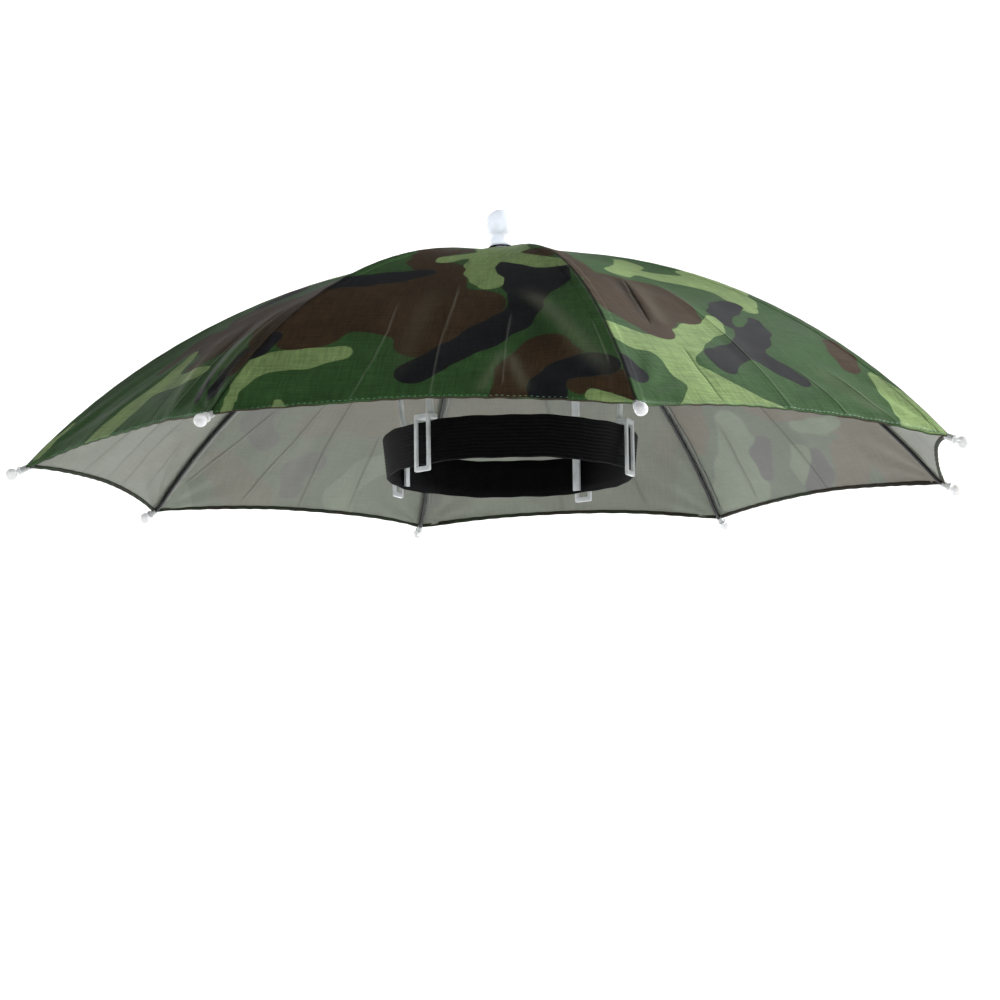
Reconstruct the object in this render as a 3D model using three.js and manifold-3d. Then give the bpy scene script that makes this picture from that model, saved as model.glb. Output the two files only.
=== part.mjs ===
// Umbrella hat: an eight-panel folding canopy on steel ribs, carried by four
// moulded legs whose loops hold an elastic headband.
// Millimetres, +Z up. The origin is the middle of the headband, where the head
// sits, and the wearer looks along -Y.

import * as THREE from "three";
import { mergeVertices } from "three/addons/utils/BufferGeometryUtils.js";
import Module from "manifold-3d";

const wasm = await Module();
wasm.setup();

// Canopy cloth, measured on its outer face
const PANELS = 8;
const RIB_RUN = 317; // cloth from the crown to a corner, along a rib
const START_SLOPE = 3; // degrees below level at the crown
const END_SLOPE = 48.5; // degrees below level at a corner
const CROWN_HEIGHT = 128; // cloth's highest point above the head seat
const PEAK_RISE = 4; // how far the hub pushes the crown up
const PEAK_RUN = 27; // where that rise has run out
const CROWN_HOLE = 4; // hole that the finial's stem goes through, from the axis
const SCALLOP = 8.4; // how far the rim draws in between two ribs
const HOLLOW = 2.6; // how far a panel sinks in between two ribs
const CANOPY_TURN = -10; // degrees about the axis, as worn
const CANOPY_SHIFT = -4; // the canopy's axis from the head's middle, along X
const CLOTH = 1;
const HEM = 1.7; // thickness of the rolled hem
const HEM_WIDTH = 5;
const SEAM_GAP = 0.3; // between two panels
const GAP = 0.3; // between pieces that touch

// How each rib of the worn hat strays from its even place:
// turn in degrees, lift as a share of the corner's drop below the crown
const RIB_STRAYS = [
  { turn: 1, lift: 0.012 },
  { turn: 0.6, lift: -0.008 },
  { turn: 0.6, lift: -0.006 },
  { turn: -0.3, lift: -0.002 },
  { turn: 0, lift: -0.002 },
  { turn: -0.3, lift: 0.003 },
  { turn: -1.7, lift: 0.001 },
  { turn: 0, lift: 0.003 },
];

// Ribs and their tips
const RIB_RADIUS = 1.15;
const RIB_TO_CLOTH = 0.6;
const TIP_OUT = 6.9; // ball centre beyond the cloth's corner
const TIP_DOWN = 4.2; // ball centre below the cloth's corner
const TIP_SLOPE = 25; // degrees below level
const BALL_RADIUS = 3.4;
const TIP_LENGTH = 10.5; // ball centre to the sleeve's mouth
const SLEEVE_RADIUS = 1.8;
const SLEEVE_DEPTH = 5; // how far the rib goes into the sleeve
const COLLAR_RADIUS = 2.6;
const COLLAR_WIDTH = 1.3;
const NECK_RADIUS = 1.5;
const NECK_LENGTH = 1.2;

// Hub under the crown, and the finial over it
const HUB_RADIUS = 13;
const HUB_HEIGHT = 8;
const SLOT_DEPTH = 5; // how far a rib's root goes into the hub
const FINIAL_HEIGHT = 21;
const BULB_RADIUS = 9;
const FOOT_RADIUS = 6.2;
const FOOT_RIM = 1; // height of the foot's upright rim
const WAIST_RADIUS = 5.6;
const WAIST_HEIGHT = 5;
const STEM_RADIUS = 3;
const WASHER_RADIUS = 7.5;
const WASHER_THICKNESS = 1;

// Headband, an elastic stretched round the head
const HEAD_WIDTH = 151; // over the band
const HEAD_DEPTH = 192;
const BAND_HEIGHT = 23.5;
const BAND_THICKNESS = 1.2;
const BAND_LEAN = 2.4; // how much tighter its lower edge is

// Legs: a strap from a rib, and a flat loop that the band goes through
const LEG_RUN = 87; // cloth from the crown to where a strap hangs, along a rib
const STRAP_WIDTH = 5.2;
const STRAP_THICKNESS = 1.5;
const LOOP_WIDTH = 12.6;
const LOOP_HEIGHT = 32.6;
const LOOP_ABOVE_BAND = 4.2;
const LOOP_THICKNESS = 1.6;
const SIDE_BAR = 2.2;
const END_BAR = 2.8;
const LOOP_CORNER = 1;
const TONGUE_LENGTH = 22; // strap behind the band, below its top edge
const CLIP_WIDTH = 6;
const CLIP_LENGTH = 7;
const CLIP_HEIGHT = 5;
const CLIP_GRIP = 0.7; // how far its arms reach past the rib's middle

const materials = {
  canopy: new THREE.MeshStandardMaterial({ color: 0x4a6b35, roughness: 0.75, metalness: 0 }),
  rib: new THREE.MeshStandardMaterial({ color: 0x1c1c1e, roughness: 0.4, metalness: 0.8 }),
  tip: new THREE.MeshStandardMaterial({ color: 0xf3f5f6, roughness: 0.25, metalness: 0 }),
  finial: new THREE.MeshStandardMaterial({ color: 0xe9f1fa, roughness: 0.2, metalness: 0 }),
  leg: new THREE.MeshStandardMaterial({ color: 0xd9dde0, roughness: 0.35, metalness: 0 }),
  band: new THREE.MeshStandardMaterial({ color: 0x121214, roughness: 0.95, metalness: 0 }),
  washer: new THREE.MeshStandardMaterial({ color: 0x232326, roughness: 0.8, metalness: 0 }),
};

const rad = THREE.MathUtils.degToRad;
const mix = THREE.MathUtils.lerp;
const HALF_PANEL = Math.PI / PANELS;
const BEND_RADIUS = RIB_RUN / rad(END_SLOPE - START_SLOPE);
const CORNER_DROP = BEND_RADIUS * (Math.cos(rad(START_SLOPE)) - Math.cos(rad(END_SLOPE)));
const RIB_DROP = CLOTH + RIB_TO_CLOTH + RIB_RADIUS;
const hat = new THREE.Group();

function addPiece(name, geometry, material) {
  const mesh = new THREE.Mesh(geometry, material);
  mesh.name = name;
  hat.add(mesh);
  return mesh;
}

// Solid from closed sections of as many points each, with strips over both ends.
// The points run anticlockwise when seen from the last section.
function loft(sections) {
  const count = sections[0].length;
  const positions = sections.flat().flatMap((p) => [p.x, p.y, p.z]);
  const faces = [];
  for (let s = 0; s + 1 < sections.length; s++) {
    for (let k = 0; k < count; k++) {
      const next = (k + 1) % count;
      const a = s * count;
      const b = a + count;
      faces.push(a + k, a + next, b + next, a + k, b + next, b + k);
    }
  }
  const last = (sections.length - 1) * count;
  for (let k = 0; k + 1 < count / 2; k++) {
    const back = count - 1 - k;
    faces.push(k, back, k + 1, back, back - 1, k + 1);
    faces.push(last + k, last + k + 1, last + back, last + back, last + k + 1, last + back - 1);
  }
  const geometry = new THREE.BufferGeometry();
  geometry.setAttribute("position", new THREE.Float32BufferAttribute(positions, 3));
  geometry.setIndex(faces);
  return geometry;
}

// Closed mesh whose shared corners are one vertex each
function merged(geometry) {
  const plain = geometry.clone();
  plain.deleteAttribute("normal");
  plain.deleteAttribute("uv");
  return mergeVertices(plain, 1e-4);
}

function toSolid(geometry) {
  const plain = merged(geometry);
  const vertProperties = new Float32Array(plain.attributes.position.array);
  const triVerts = new Uint32Array(plain.index.array);
  return new wasm.Manifold(new wasm.Mesh({ numProp: 3, vertProperties, triVerts }));
}

function fromSolid(solid) {
  const mesh = solid.getMesh();
  const geometry = new THREE.BufferGeometry();
  geometry.setAttribute("position", new THREE.BufferAttribute(mesh.vertProperties, 3));
  geometry.setIndex(new THREE.BufferAttribute(mesh.triVerts, 1));
  return geometry;
}

// Canopy cloth

function ribAngle(index) {
  const place = index % PANELS;
  const turns = -90 + CANOPY_TURN + (360 / PANELS) * (place - 0.5);
  return rad(turns + RIB_STRAYS[place % RIB_STRAYS.length].turn);
}

function outwardAt(index) {
  return new THREE.Vector3(Math.cos(ribAngle(index)), Math.sin(ribAngle(index)), 0);
}

function slopeAt(run) {
  return rad(mix(START_SLOPE, END_SLOPE, run / RIB_RUN));
}

function smooth(share) {
  const s = THREE.MathUtils.clamp(share, 0, 1);
  return s * s * (3 - 2 * s);
}

// Point of the cloth's outer face over a rib, at a run from the crown
function onRib(index, run) {
  const slope = slopeAt(run);
  const angle = ribAngle(index);
  const stray = RIB_STRAYS[(index % PANELS) % RIB_STRAYS.length];
  const radius = BEND_RADIUS * (Math.sin(slope) - Math.sin(rad(START_SLOPE)));
  const drop = BEND_RADIUS * (Math.cos(rad(START_SLOPE)) - Math.cos(slope));
  const lift = stray.lift * CORNER_DROP * (run / RIB_RUN) ** 2;
  const sunk = PEAK_RISE * smooth(run / PEAK_RUN);
  return new THREE.Vector3(
    CANOPY_SHIFT + radius * Math.cos(angle),
    radius * Math.sin(angle),
    CROWN_HEIGHT - sunk - drop + lift
  );
}

// Point of the cloth's outer face in a panel, across from one rib to the next
function onPanel(index, across, run) {
  const a = onRib(index, run);
  const b = onRib(index + 1, run);
  const between = 4 * across * (1 - across);
  const sink = HOLLOW * Math.sin(Math.PI * Math.min(run / RIB_RUN, 1)) * between;
  return a.lerp(b, across).addScaledVector(panelNormal(index, across, run), -sink);
}

// Outward direction square to the cloth's fall at a run, in one rib's own plane
function ribNormal(index, run) {
  const slope = slopeAt(run);
  return outwardAt(index).multiplyScalar(Math.sin(slope)).setZ(Math.cos(slope));
}

function panelNormal(index, across, run) {
  return ribNormal(index, run).lerp(ribNormal(index + 1, run), across).normalize();
}

function rimRun(across) {
  return RIB_RUN - SCALLOP * 4 * across * (1 - across);
}

function panelGeometry(index) {
  const columns = 6;
  const rows = 13;
  const hemStep = 1;
  const sections = [];
  for (let row = 0; row <= rows + 2; row++) {
    const outer = [];
    const inner = [];
    for (let column = 0; column <= columns; column++) {
      const even = column / columns;
      const rim = rimRun(even);
      const hemTop = rim - HEM_WIDTH;
      const runs = [mix(CROWN_HOLE, hemTop - hemStep, row / rows), hemTop, rim];
      const run = runs[Math.max(row - rows, 0)];
      const chord = onRib(index, run).distanceTo(onRib(index + 1, run));
      const inset = SEAM_GAP / 2 / chord;
      const across = mix(inset, 1 - inset, even);
      const point = onPanel(index, across, run);
      const thickness = row > rows ? HEM : CLOTH;
      outer.push(point);
      inner.unshift(point.clone().addScaledVector(panelNormal(index, across, run), -thickness));
    }
    sections.unshift([...outer, ...inner]);
  }
  return loft(sections);
}

// Ribs and tips

function ballCentre(index) {
  const corner = onRib(index, RIB_RUN);
  return corner.addScaledVector(outwardAt(index), TIP_OUT).setZ(corner.z - TIP_DOWN);
}

// Direction from the sleeve's mouth out to the ball
function tipDirection(index) {
  const level = outwardAt(index).multiplyScalar(Math.cos(rad(TIP_SLOPE)));
  return level.setZ(-Math.sin(rad(TIP_SLOPE)));
}

// Rib's centre line at a run: under the cloth, without the crown's rise
function ribCentre(index, run) {
  const point = onRib(index, run);
  point.z += PEAK_RISE * (smooth(run / PEAK_RUN) - 1);
  return point.addScaledVector(ribNormal(index, run), -RIB_DROP);
}

const RIB_START = HUB_RADIUS - SLOT_DEPTH + GAP;
const RIB_BEND = RIB_RUN - TIP_LENGTH + TIP_OUT - 3 * RIB_RADIUS;

// Rib's centre line: an arc under the cloth, then straight into the tip
function ribPath(index) {
  const points = [];
  const arcs = 14;
  for (let k = 0; k <= arcs; k++) {
    points.push(ribCentre(index, mix(RIB_START, RIB_BEND, k / arcs)));
  }
  const ball = ballCentre(index);
  const direction = tipDirection(index);
  for (const before of [TIP_LENGTH + RIB_RADIUS, TIP_LENGTH - SLEEVE_DEPTH]) {
    points.push(ball.clone().addScaledVector(direction, -before));
  }
  return points;
}

// Round bar along the rib's centre line, bent in the rib's own upright plane
function ribGeometry(index, clearance) {
  const sides = 8;
  const radius = RIB_RADIUS + clearance;
  const level = new THREE.Vector3(0, 0, 1).cross(outwardAt(index));
  const points = ribPath(index);
  const sections = points.map((point, k) => {
    const before = points[Math.max(k - 1, 0)];
    const after = points[Math.min(k + 1, points.length - 1)];
    const along = after.clone().sub(before).normalize();
    const up = along.clone().cross(level);
    const corners = [];
    for (let side = 0; side < sides; side++) {
      const angle = (2 * Math.PI * (side + 0.5)) / sides;
      const corner = point.clone().addScaledVector(level, radius * Math.cos(angle));
      corners.push(corner.addScaledVector(up, radius * Math.sin(angle)));
    }
    return corners;
  });
  return loft(sections);
}

// Tip turned about its own axis: height 0 at the ball's centre, mouth at the top
function tipGeometry() {
  const neckTop = Math.sqrt(BALL_RADIUS ** 2 - NECK_RADIUS ** 2) + NECK_LENGTH;
  const bore = RIB_RADIUS + GAP;
  const profile = [new THREE.Vector2(0, -BALL_RADIUS)];
  const neckAngle = Math.acos(NECK_RADIUS / BALL_RADIUS);
  const arcs = 6;
  for (let k = 1; k <= arcs; k++) {
    const angle = mix(-Math.PI / 2, neckAngle, k / arcs);
    profile.push(new THREE.Vector2(BALL_RADIUS * Math.cos(angle), BALL_RADIUS * Math.sin(angle)));
  }
  profile.push(new THREE.Vector2(NECK_RADIUS, neckTop));
  profile.push(new THREE.Vector2(COLLAR_RADIUS, neckTop));
  profile.push(new THREE.Vector2(COLLAR_RADIUS, neckTop + COLLAR_WIDTH));
  profile.push(new THREE.Vector2(SLEEVE_RADIUS, neckTop + COLLAR_WIDTH));
  profile.push(new THREE.Vector2(SLEEVE_RADIUS, TIP_LENGTH));
  profile.push(new THREE.Vector2(bore, TIP_LENGTH));
  profile.push(new THREE.Vector2(bore, TIP_LENGTH - SLEEVE_DEPTH - GAP));
  profile.push(new THREE.Vector2(0, TIP_LENGTH - SLEEVE_DEPTH - GAP));
  return merged(new THREE.LatheGeometry(profile, 10));
}

const lathePole = new THREE.Vector3(0, 1, 0);

function placeAlong(object, point, direction) {
  object.position.copy(point);
  object.quaternion.setFromUnitVectors(lathePole, direction);
  object.updateMatrixWorld();
  return object;
}

// Room for a rib and its tip's sleeve, cut out of the cloth's corner
function ribRoom(index) {
  const length = TIP_LENGTH + 3 * RIB_RADIUS;
  const room = new THREE.CylinderGeometry(SLEEVE_RADIUS + GAP, SLEEVE_RADIUS + GAP, length, 12);
  const inward = tipDirection(index).negate();
  const middle = ballCentre(index).addScaledVector(inward, length / 2);
  const place = placeAlong(new THREE.Object3D(), middle, inward);
  return toSolid(room.applyMatrix4(place.matrixWorld)).add(toSolid(ribGeometry(index, GAP)));
}

// Hub, washer and finial, turned about the canopy's axis

// Height of the cloth's underside at a radius from the canopy's axis
function crownUnderside(radius) {
  const point = onPanel(0, 0.5, radius / Math.cos(HALF_PANEL));
  return point.z - CLOTH;
}

const HUB_TOP = Math.min(crownUnderside(HUB_RADIUS), CROWN_HEIGHT - PEAK_RISE - CLOTH) - GAP;

function latheUp(profile, segments) {
  const corners = profile.map(([radius, height]) => new THREE.Vector2(radius, height));
  return merged(new THREE.LatheGeometry(corners, segments)).rotateX(Math.PI / 2);
}

function hubGeometry() {
  const bottom = HUB_TOP - HUB_HEIGHT;
  const bore = STEM_RADIUS + GAP;
  const profile = [
    [bore, bottom],
    [HUB_RADIUS, bottom],
    [HUB_RADIUS, HUB_TOP],
    [bore, HUB_TOP],
    [bore, bottom],
  ];
  let solid = toSolid(latheUp(profile, 24).translate(CANOPY_SHIFT, 0, 0));
  const slotWidth = 2 * (RIB_RADIUS + GAP);
  for (let index = 0; index < PANELS; index++) {
    const slot = new THREE.BoxGeometry(2 * SLOT_DEPTH, slotWidth, HUB_HEIGHT);
    const floor = ribCentre(index, RIB_START).z - RIB_RADIUS - 2 * GAP;
    const place = new THREE.Object3D();
    place.position.copy(outwardAt(index).multiplyScalar(HUB_RADIUS));
    place.position.x += CANOPY_SHIFT;
    place.position.z = floor + HUB_HEIGHT / 2;
    place.rotation.z = ribAngle(index);
    place.updateMatrixWorld();
    solid = solid.subtract(toSolid(slot.applyMatrix4(place.matrixWorld)));
  }
  return fromSolid(solid);
}

function washerGeometry() {
  const bottom = CROWN_HEIGHT + GAP;
  const bore = STEM_RADIUS + GAP;
  const profile = [
    [bore, bottom],
    [WASHER_RADIUS, bottom],
    [WASHER_RADIUS, bottom + WASHER_THICKNESS],
    [bore, bottom + WASHER_THICKNESS],
    [bore, bottom],
  ];
  return latheUp(profile, 16).translate(CANOPY_SHIFT, 0, 0);
}

function finialGeometry() {
  const foot = CROWN_HEIGHT + WASHER_THICKNESS + 2 * GAP;
  const top = foot + FINIAL_HEIGHT;
  const bulb = top - BULB_RADIUS;
  const waist = foot + WAIST_HEIGHT;
  const profile = [
    [0, HUB_TOP - HUB_HEIGHT],
    [STEM_RADIUS, HUB_TOP - HUB_HEIGHT],
    [STEM_RADIUS, foot],
    [FOOT_RADIUS, foot],
    [FOOT_RADIUS, foot + FOOT_RIM],
    [WAIST_RADIUS, waist],
  ];
  const arcs = 8;
  const start = -Math.acos(WAIST_RADIUS / BULB_RADIUS);
  const stretch = (bulb - waist) / (BULB_RADIUS * Math.sin(-start));
  for (let k = 1; k <= arcs; k++) {
    const angle = mix(start, Math.PI / 2, k / arcs);
    const rise = BULB_RADIUS * Math.sin(angle);
    const height = bulb + (angle < 0 ? rise * stretch : rise);
    profile.push([k === arcs ? 0 : BULB_RADIUS * Math.cos(angle), height]);
  }
  return latheUp(profile, 16).translate(CANOPY_SHIFT, 0, 0);
}

// Headband

function ovalPath(Kind, halfWidth, halfDepth) {
  const oval = new Kind();
  oval.absellipse(0, 0, halfWidth, halfDepth, 0, 2 * Math.PI, false, 0);
  return oval;
}

function bandGeometry() {
  const outline = ovalPath(THREE.Shape, HEAD_WIDTH / 2, HEAD_DEPTH / 2);
  const inside = [HEAD_WIDTH / 2 - BAND_THICKNESS, HEAD_DEPTH / 2 - BAND_THICKNESS];
  outline.holes.push(ovalPath(THREE.Path, ...inside));
  const options = { depth: BAND_HEIGHT, bevelEnabled: false, curveSegments: 32, steps: 1 };
  const band = merged(new THREE.ExtrudeGeometry(outline, options));
  band.translate(0, 0, -BAND_HEIGHT / 2);
  const positions = band.attributes.position;
  for (let k = 0; k < positions.count; k++) {
    const tight = 1 - leanAt(positions.getZ(k)) / (HEAD_WIDTH / 2);
    positions.setXY(k, positions.getX(k) * tight, positions.getY(k) * tight);
  }
  return band;
}

function leanAt(height) {
  return BAND_LEAN * (0.5 - height / BAND_HEIGHT);
}

// Legs

// Where a leg lies on the band: its outer face at mid height, under the strap's top
function legSeat(top) {
  const wide = HEAD_WIDTH / 2;
  const deep = HEAD_DEPTH / 2;
  const angle = Math.atan2(top.y / deep, top.x / wide);
  const point = new THREE.Vector3(wide * Math.cos(angle), deep * Math.sin(angle), 0);
  const normal = new THREE.Vector3(point.x / wide ** 2, point.y / deep ** 2, 0).normalize();
  return { point, normal };
}

// Box between two heights, in a leg's own frame: X along the band, Y out, Z up
function legBox(width, low, high, inner, outer) {
  const box = new THREE.BoxGeometry(width, outer - inner, high - low);
  return toSolid(box.translate(0, (inner + outer) / 2, (low + high) / 2));
}

function loopGeometry(bottom, inner) {
  const half = LOOP_WIDTH / 2;
  const frame = new THREE.Shape();
  frame.moveTo(-half + LOOP_CORNER, 0);
  frame.lineTo(half - LOOP_CORNER, 0);
  frame.quadraticCurveTo(half, 0, half, LOOP_CORNER);
  frame.lineTo(half, LOOP_HEIGHT - LOOP_CORNER);
  frame.quadraticCurveTo(half, LOOP_HEIGHT, half - LOOP_CORNER, LOOP_HEIGHT);
  frame.lineTo(-half + LOOP_CORNER, LOOP_HEIGHT);
  frame.quadraticCurveTo(-half, LOOP_HEIGHT, -half, LOOP_HEIGHT - LOOP_CORNER);
  frame.lineTo(-half, LOOP_CORNER);
  frame.quadraticCurveTo(-half, 0, -half + LOOP_CORNER, 0);
  const hole = new THREE.Path();
  hole.moveTo(-half + SIDE_BAR, END_BAR);
  hole.lineTo(half - SIDE_BAR, END_BAR);
  hole.lineTo(half - SIDE_BAR, LOOP_HEIGHT - END_BAR);
  hole.lineTo(-half + SIDE_BAR, LOOP_HEIGHT - END_BAR);
  frame.holes.push(hole);
  const options = { depth: LOOP_THICKNESS, bevelEnabled: false, curveSegments: 2 };
  const geometry = new THREE.ExtrudeGeometry(frame, options).rotateX(Math.PI / 2);
  return geometry.translate(0, inner + LOOP_THICKNESS, bottom);
}

function legGeometry(index) {
  const hung = ribCentre(index, LEG_RUN);
  const { point, normal } = legSeat(hung);
  const bandTop = BAND_HEIGHT / 2;
  const loopTop = bandTop + LOOP_ABOVE_BAND;
  const loopBottom = loopTop - LOOP_HEIGHT;
  const bulge = LOOP_WIDTH ** 2 / (4 * HEAD_WIDTH);
  const front = GAP;
  const back = -BAND_THICKNESS - BAND_LEAN - bulge - GAP;

  const place = new THREE.Object3D();
  place.position.copy(point);
  place.rotation.z = Math.atan2(normal.y, normal.x) - Math.PI / 2;
  place.updateMatrixWorld();

  let leg = toSolid(loopGeometry(loopBottom, front));
  const bridge = [loopTop - END_BAR, loopTop, back - STRAP_THICKNESS, front + LOOP_THICKNESS];
  leg = leg.add(legBox(LOOP_WIDTH - 2 * LOOP_CORNER, ...bridge));
  const tongue = [bandTop - TONGUE_LENGTH, loopTop, back - STRAP_THICKNESS, back];
  leg = leg.add(legBox(STRAP_WIDTH, ...tongue));

  const local = hung.clone().applyMatrix4(place.matrixWorld.clone().invert());
  const clipBottom = local.z + CLIP_GRIP - CLIP_HEIGHT;
  const strap = loft([
    strapSection(0, back - STRAP_THICKNESS / 2, loopTop - END_BAR),
    strapSection(local.x, local.y, clipBottom + STRAP_THICKNESS),
  ]);
  leg = leg.add(toSolid(strap));

  const clip = new THREE.BoxGeometry(CLIP_LENGTH, CLIP_WIDTH, CLIP_HEIGHT);
  clip.translate(0, 0, CLIP_GRIP - CLIP_HEIGHT / 2);
  const seat = new THREE.Object3D();
  seat.position.copy(hung);
  seat.rotation.set(0, slopeAt(LEG_RUN), ribAngle(index), "ZYX");
  seat.updateMatrixWorld();
  const clipSolid = toSolid(clip.applyMatrix4(seat.matrixWorld));
  const clipBore = new THREE.CylinderGeometry(RIB_RADIUS + GAP, RIB_RADIUS + GAP, 2 * CLIP_LENGTH, 8);
  clipBore.rotateZ(Math.PI / 2).applyMatrix4(seat.matrixWorld);
  const world = leg.transform(place.matrixWorld.toArray());
  return fromSolid(world.add(clipSolid).subtract(toSolid(clipBore)));
}

function strapSection(x, y, z) {
  const w = STRAP_WIDTH / 2;
  const t = STRAP_THICKNESS / 2;
  return [
    new THREE.Vector3(x - w, y - t, z),
    new THREE.Vector3(x + w, y - t, z),
    new THREE.Vector3(x + w, y + t, z),
    new THREE.Vector3(x - w, y + t, z),
  ];
}

// Assembly

for (let index = 0; index < PANELS; index++) {
  let panel = toSolid(panelGeometry(index));
  panel = panel.subtract(ribRoom(index)).subtract(ribRoom(index + 1));
  addPiece(`gore_${index + 1}`, fromSolid(panel), materials.canopy);
  addPiece(`rib_${index + 1}`, ribGeometry(index, 0), materials.rib);
  const tip = addPiece(`tip_${index + 1}`, tipGeometry(), materials.tip);
  placeAlong(tip, ballCentre(index), tipDirection(index).negate());
}
for (let leg = 0; leg < PANELS / 2; leg++) {
  addPiece(`leg_${leg + 1}`, legGeometry(2 * leg), materials.leg);
}
addPiece("headband", bandGeometry(), materials.band);
addPiece("hub", hubGeometry(), materials.leg);
addPiece("crown_washer", washerGeometry(), materials.washer);
addPiece("finial", finialGeometry(), materials.finial);

export default hat;
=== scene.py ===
# Looks of the umbrella hat: cloth, ribs, tips, legs, headband, stage, lights and camera.
# Shapes are worked out in millimetres and scaled to metres when a mesh is made.

import math

import bmesh
import bpy
import numpy as np
from mathutils import Matrix, Vector


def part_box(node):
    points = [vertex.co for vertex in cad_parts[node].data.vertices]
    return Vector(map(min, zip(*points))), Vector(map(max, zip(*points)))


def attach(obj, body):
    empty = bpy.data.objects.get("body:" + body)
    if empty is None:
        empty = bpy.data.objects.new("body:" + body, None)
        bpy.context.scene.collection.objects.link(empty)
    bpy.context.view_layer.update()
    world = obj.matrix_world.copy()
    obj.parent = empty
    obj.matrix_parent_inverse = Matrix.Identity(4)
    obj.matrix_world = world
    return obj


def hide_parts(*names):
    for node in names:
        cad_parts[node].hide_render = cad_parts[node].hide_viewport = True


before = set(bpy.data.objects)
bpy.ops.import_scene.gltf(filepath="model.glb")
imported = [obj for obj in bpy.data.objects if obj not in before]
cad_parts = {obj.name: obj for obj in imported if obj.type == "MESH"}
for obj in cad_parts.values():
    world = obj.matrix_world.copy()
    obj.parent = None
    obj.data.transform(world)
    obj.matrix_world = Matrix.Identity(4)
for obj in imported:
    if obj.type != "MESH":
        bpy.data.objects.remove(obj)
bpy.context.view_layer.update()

MM = 0.001

# Canopy, measured on the cloth's outer face, in millimetres and degrees
PANELS = 8
RIB_RUN = 317.0
START_SLOPE = 3.0
END_SLOPE = 48.5
CROWN_HEIGHT = 128.0
PEAK_RISE = 4.0
PEAK_RUN = 27.0
CROWN_HOLE = 4.0
SCALLOP = 8.4
HOLLOW = 2.6
CANOPY_TURN = -10.0
CANOPY_SHIFT = -4.0
CLOTH = 0.5
HEM_WIDTH = 2.2
HEM_ROLL = 0.8
HEM_STEPS = 72  # to a panel

# Strays of the worn ribs: turn in degrees, lift as a share of the corner's drop
RIB_TURN = [1, 0.6, 0.6, -0.3, 0, -0.3, -1.7, 0]
RIB_LIFT = [0.012, -0.008, -0.006, -0.002, -0.002, 0.003, 0.001, 0.003]

# Ribs and tips
RIB_RADIUS = 1.15
RIB_DEPTH = 2.75  # rib's centre line below the cloth's outer face
RIB_START = 8.3
RIB_STEPS = 64
RIB_SIDES = 16
TIP_OUT = 6.9
TIP_DOWN = 4.2
TIP_SLOPE = 25.0
BALL_RADIUS = 3.4
TIP_LENGTH = 10.5
SLEEVE_RADIUS = 1.8
SLEEVE_DEPTH = 5.0
COLLAR_RADIUS = 2.6
COLLAR_WIDTH = 1.3
NECK_RADIUS = 1.5
NECK_LENGTH = 1.2

# Finial
FOOT_RADIUS = 6.6
WAIST_RADIUS = 6.2
WAIST_HEIGHT = 5.0
BULB_RADIUS = 9.0
FINIAL_HEIGHT = 21.0
STEM_RADIUS = 3.0
SKIRT_BORE = 5.0
SKIRT_DROP = 1.2
WASHER_BORE = 3.6
WASHER_SEAT = 0.15

# Headband
HEAD_WIDTH = 151.0
HEAD_DEPTH = 192.0
BAND_HEIGHT = 23.5
BAND_THICKNESS = 1.2
BAND_LEAN = 2.4
BAND_RIBS = 12
BAND_RELIEF = 0.28
BAND_ROUNDING = 0.25
BAND_BACK = 0.1
BAND_STEPS = 420

# Camera: eye in metres, and degrees up from level and of roll
EYE = (-0.0086, -1.3936, -0.1933)
LOOK_UP = 6.91
ROLL = 0.72
FOCAL_PIXELS = 2379.0
PHOTO_PIXELS = 1000.0
SENSOR = 36.0


# Small helpers

def ease(share):
    s = np.clip(share, 0.0, 1.0)
    return s * s * (3.0 - 2.0 * s)


def unit(vectors):
    return vectors / np.maximum(np.linalg.norm(vectors, axis=-1, keepdims=True), 1e-9)


def make_mesh(name, points, faces):
    """Smooth mesh object from points in millimetres."""
    mesh = bpy.data.meshes.new(name)
    mesh.from_pydata((np.asarray(points, float) * MM).tolist(), [], faces)
    mesh.polygons.foreach_set("use_smooth", [True] * len(mesh.polygons))
    mesh.update()
    thing = bpy.data.objects.new(name, mesh)
    bpy.context.scene.collection.objects.link(thing)
    return thing


def dress(thing, slot, *materials):
    for material in materials:
        thing.data.materials.append(material)
    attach(thing, "root")
    return thing


def loft(sections, closed=False):
    """Points and faces of a skin over sections of as many points each, capped if it is open."""
    count = len(sections[0])
    rings = len(sections)
    faces = []
    for r in range(rings if closed else rings - 1):
        low = r * count
        high = (r + 1) % rings * count
        for k in range(count):
            n = (k + 1) % count
            faces.append((low + k, low + n, high + n, high + k))
    if not closed:
        faces.append(tuple(range(count - 1, -1, -1)))
        faces.append(tuple(range((rings - 1) * count, rings * count)))
    return np.concatenate(sections), faces


def join(parts):
    """Points and faces of several skins as one."""
    points, faces = [], []
    base = 0
    for part_points, part_faces in parts:
        points.append(part_points)
        faces += [tuple(base + i for i in face) for face in part_faces]
        base += len(part_points)
    return np.concatenate(points), faces


POLE = 0.02  # radius at which a solid profile starts, just off its axis


def lathe(profile, segments, bored=False):
    """Points and faces of a profile of (radius, height) turned about Z.

    A bored profile closes on itself, and any other is capped at its two ends.
    """
    angles = np.linspace(0, 2 * np.pi, segments, endpoint=False)
    rings = []
    for radius, height in profile:
        rings.append(np.stack([radius * np.cos(angles), radius * np.sin(angles),
                               np.full(segments, height)], 1))
    return loft(rings, closed=bored)


def frame_to(direction):
    """3 x 3 rotation that takes +Z to a direction."""
    return np.array(Vector((0, 0, 1)).rotation_difference(Vector(direction)).to_matrix())


# Materials

def srgb(text):
    """Linear colour of an sRGB hex code."""
    values = [int(text[k:k + 2], 16) / 255 for k in (1, 3, 5)]
    return tuple(v / 12.92 if v <= 0.04045 else ((v + 0.055) / 1.055) ** 2.4 for v in values) + (1.0,)


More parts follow.
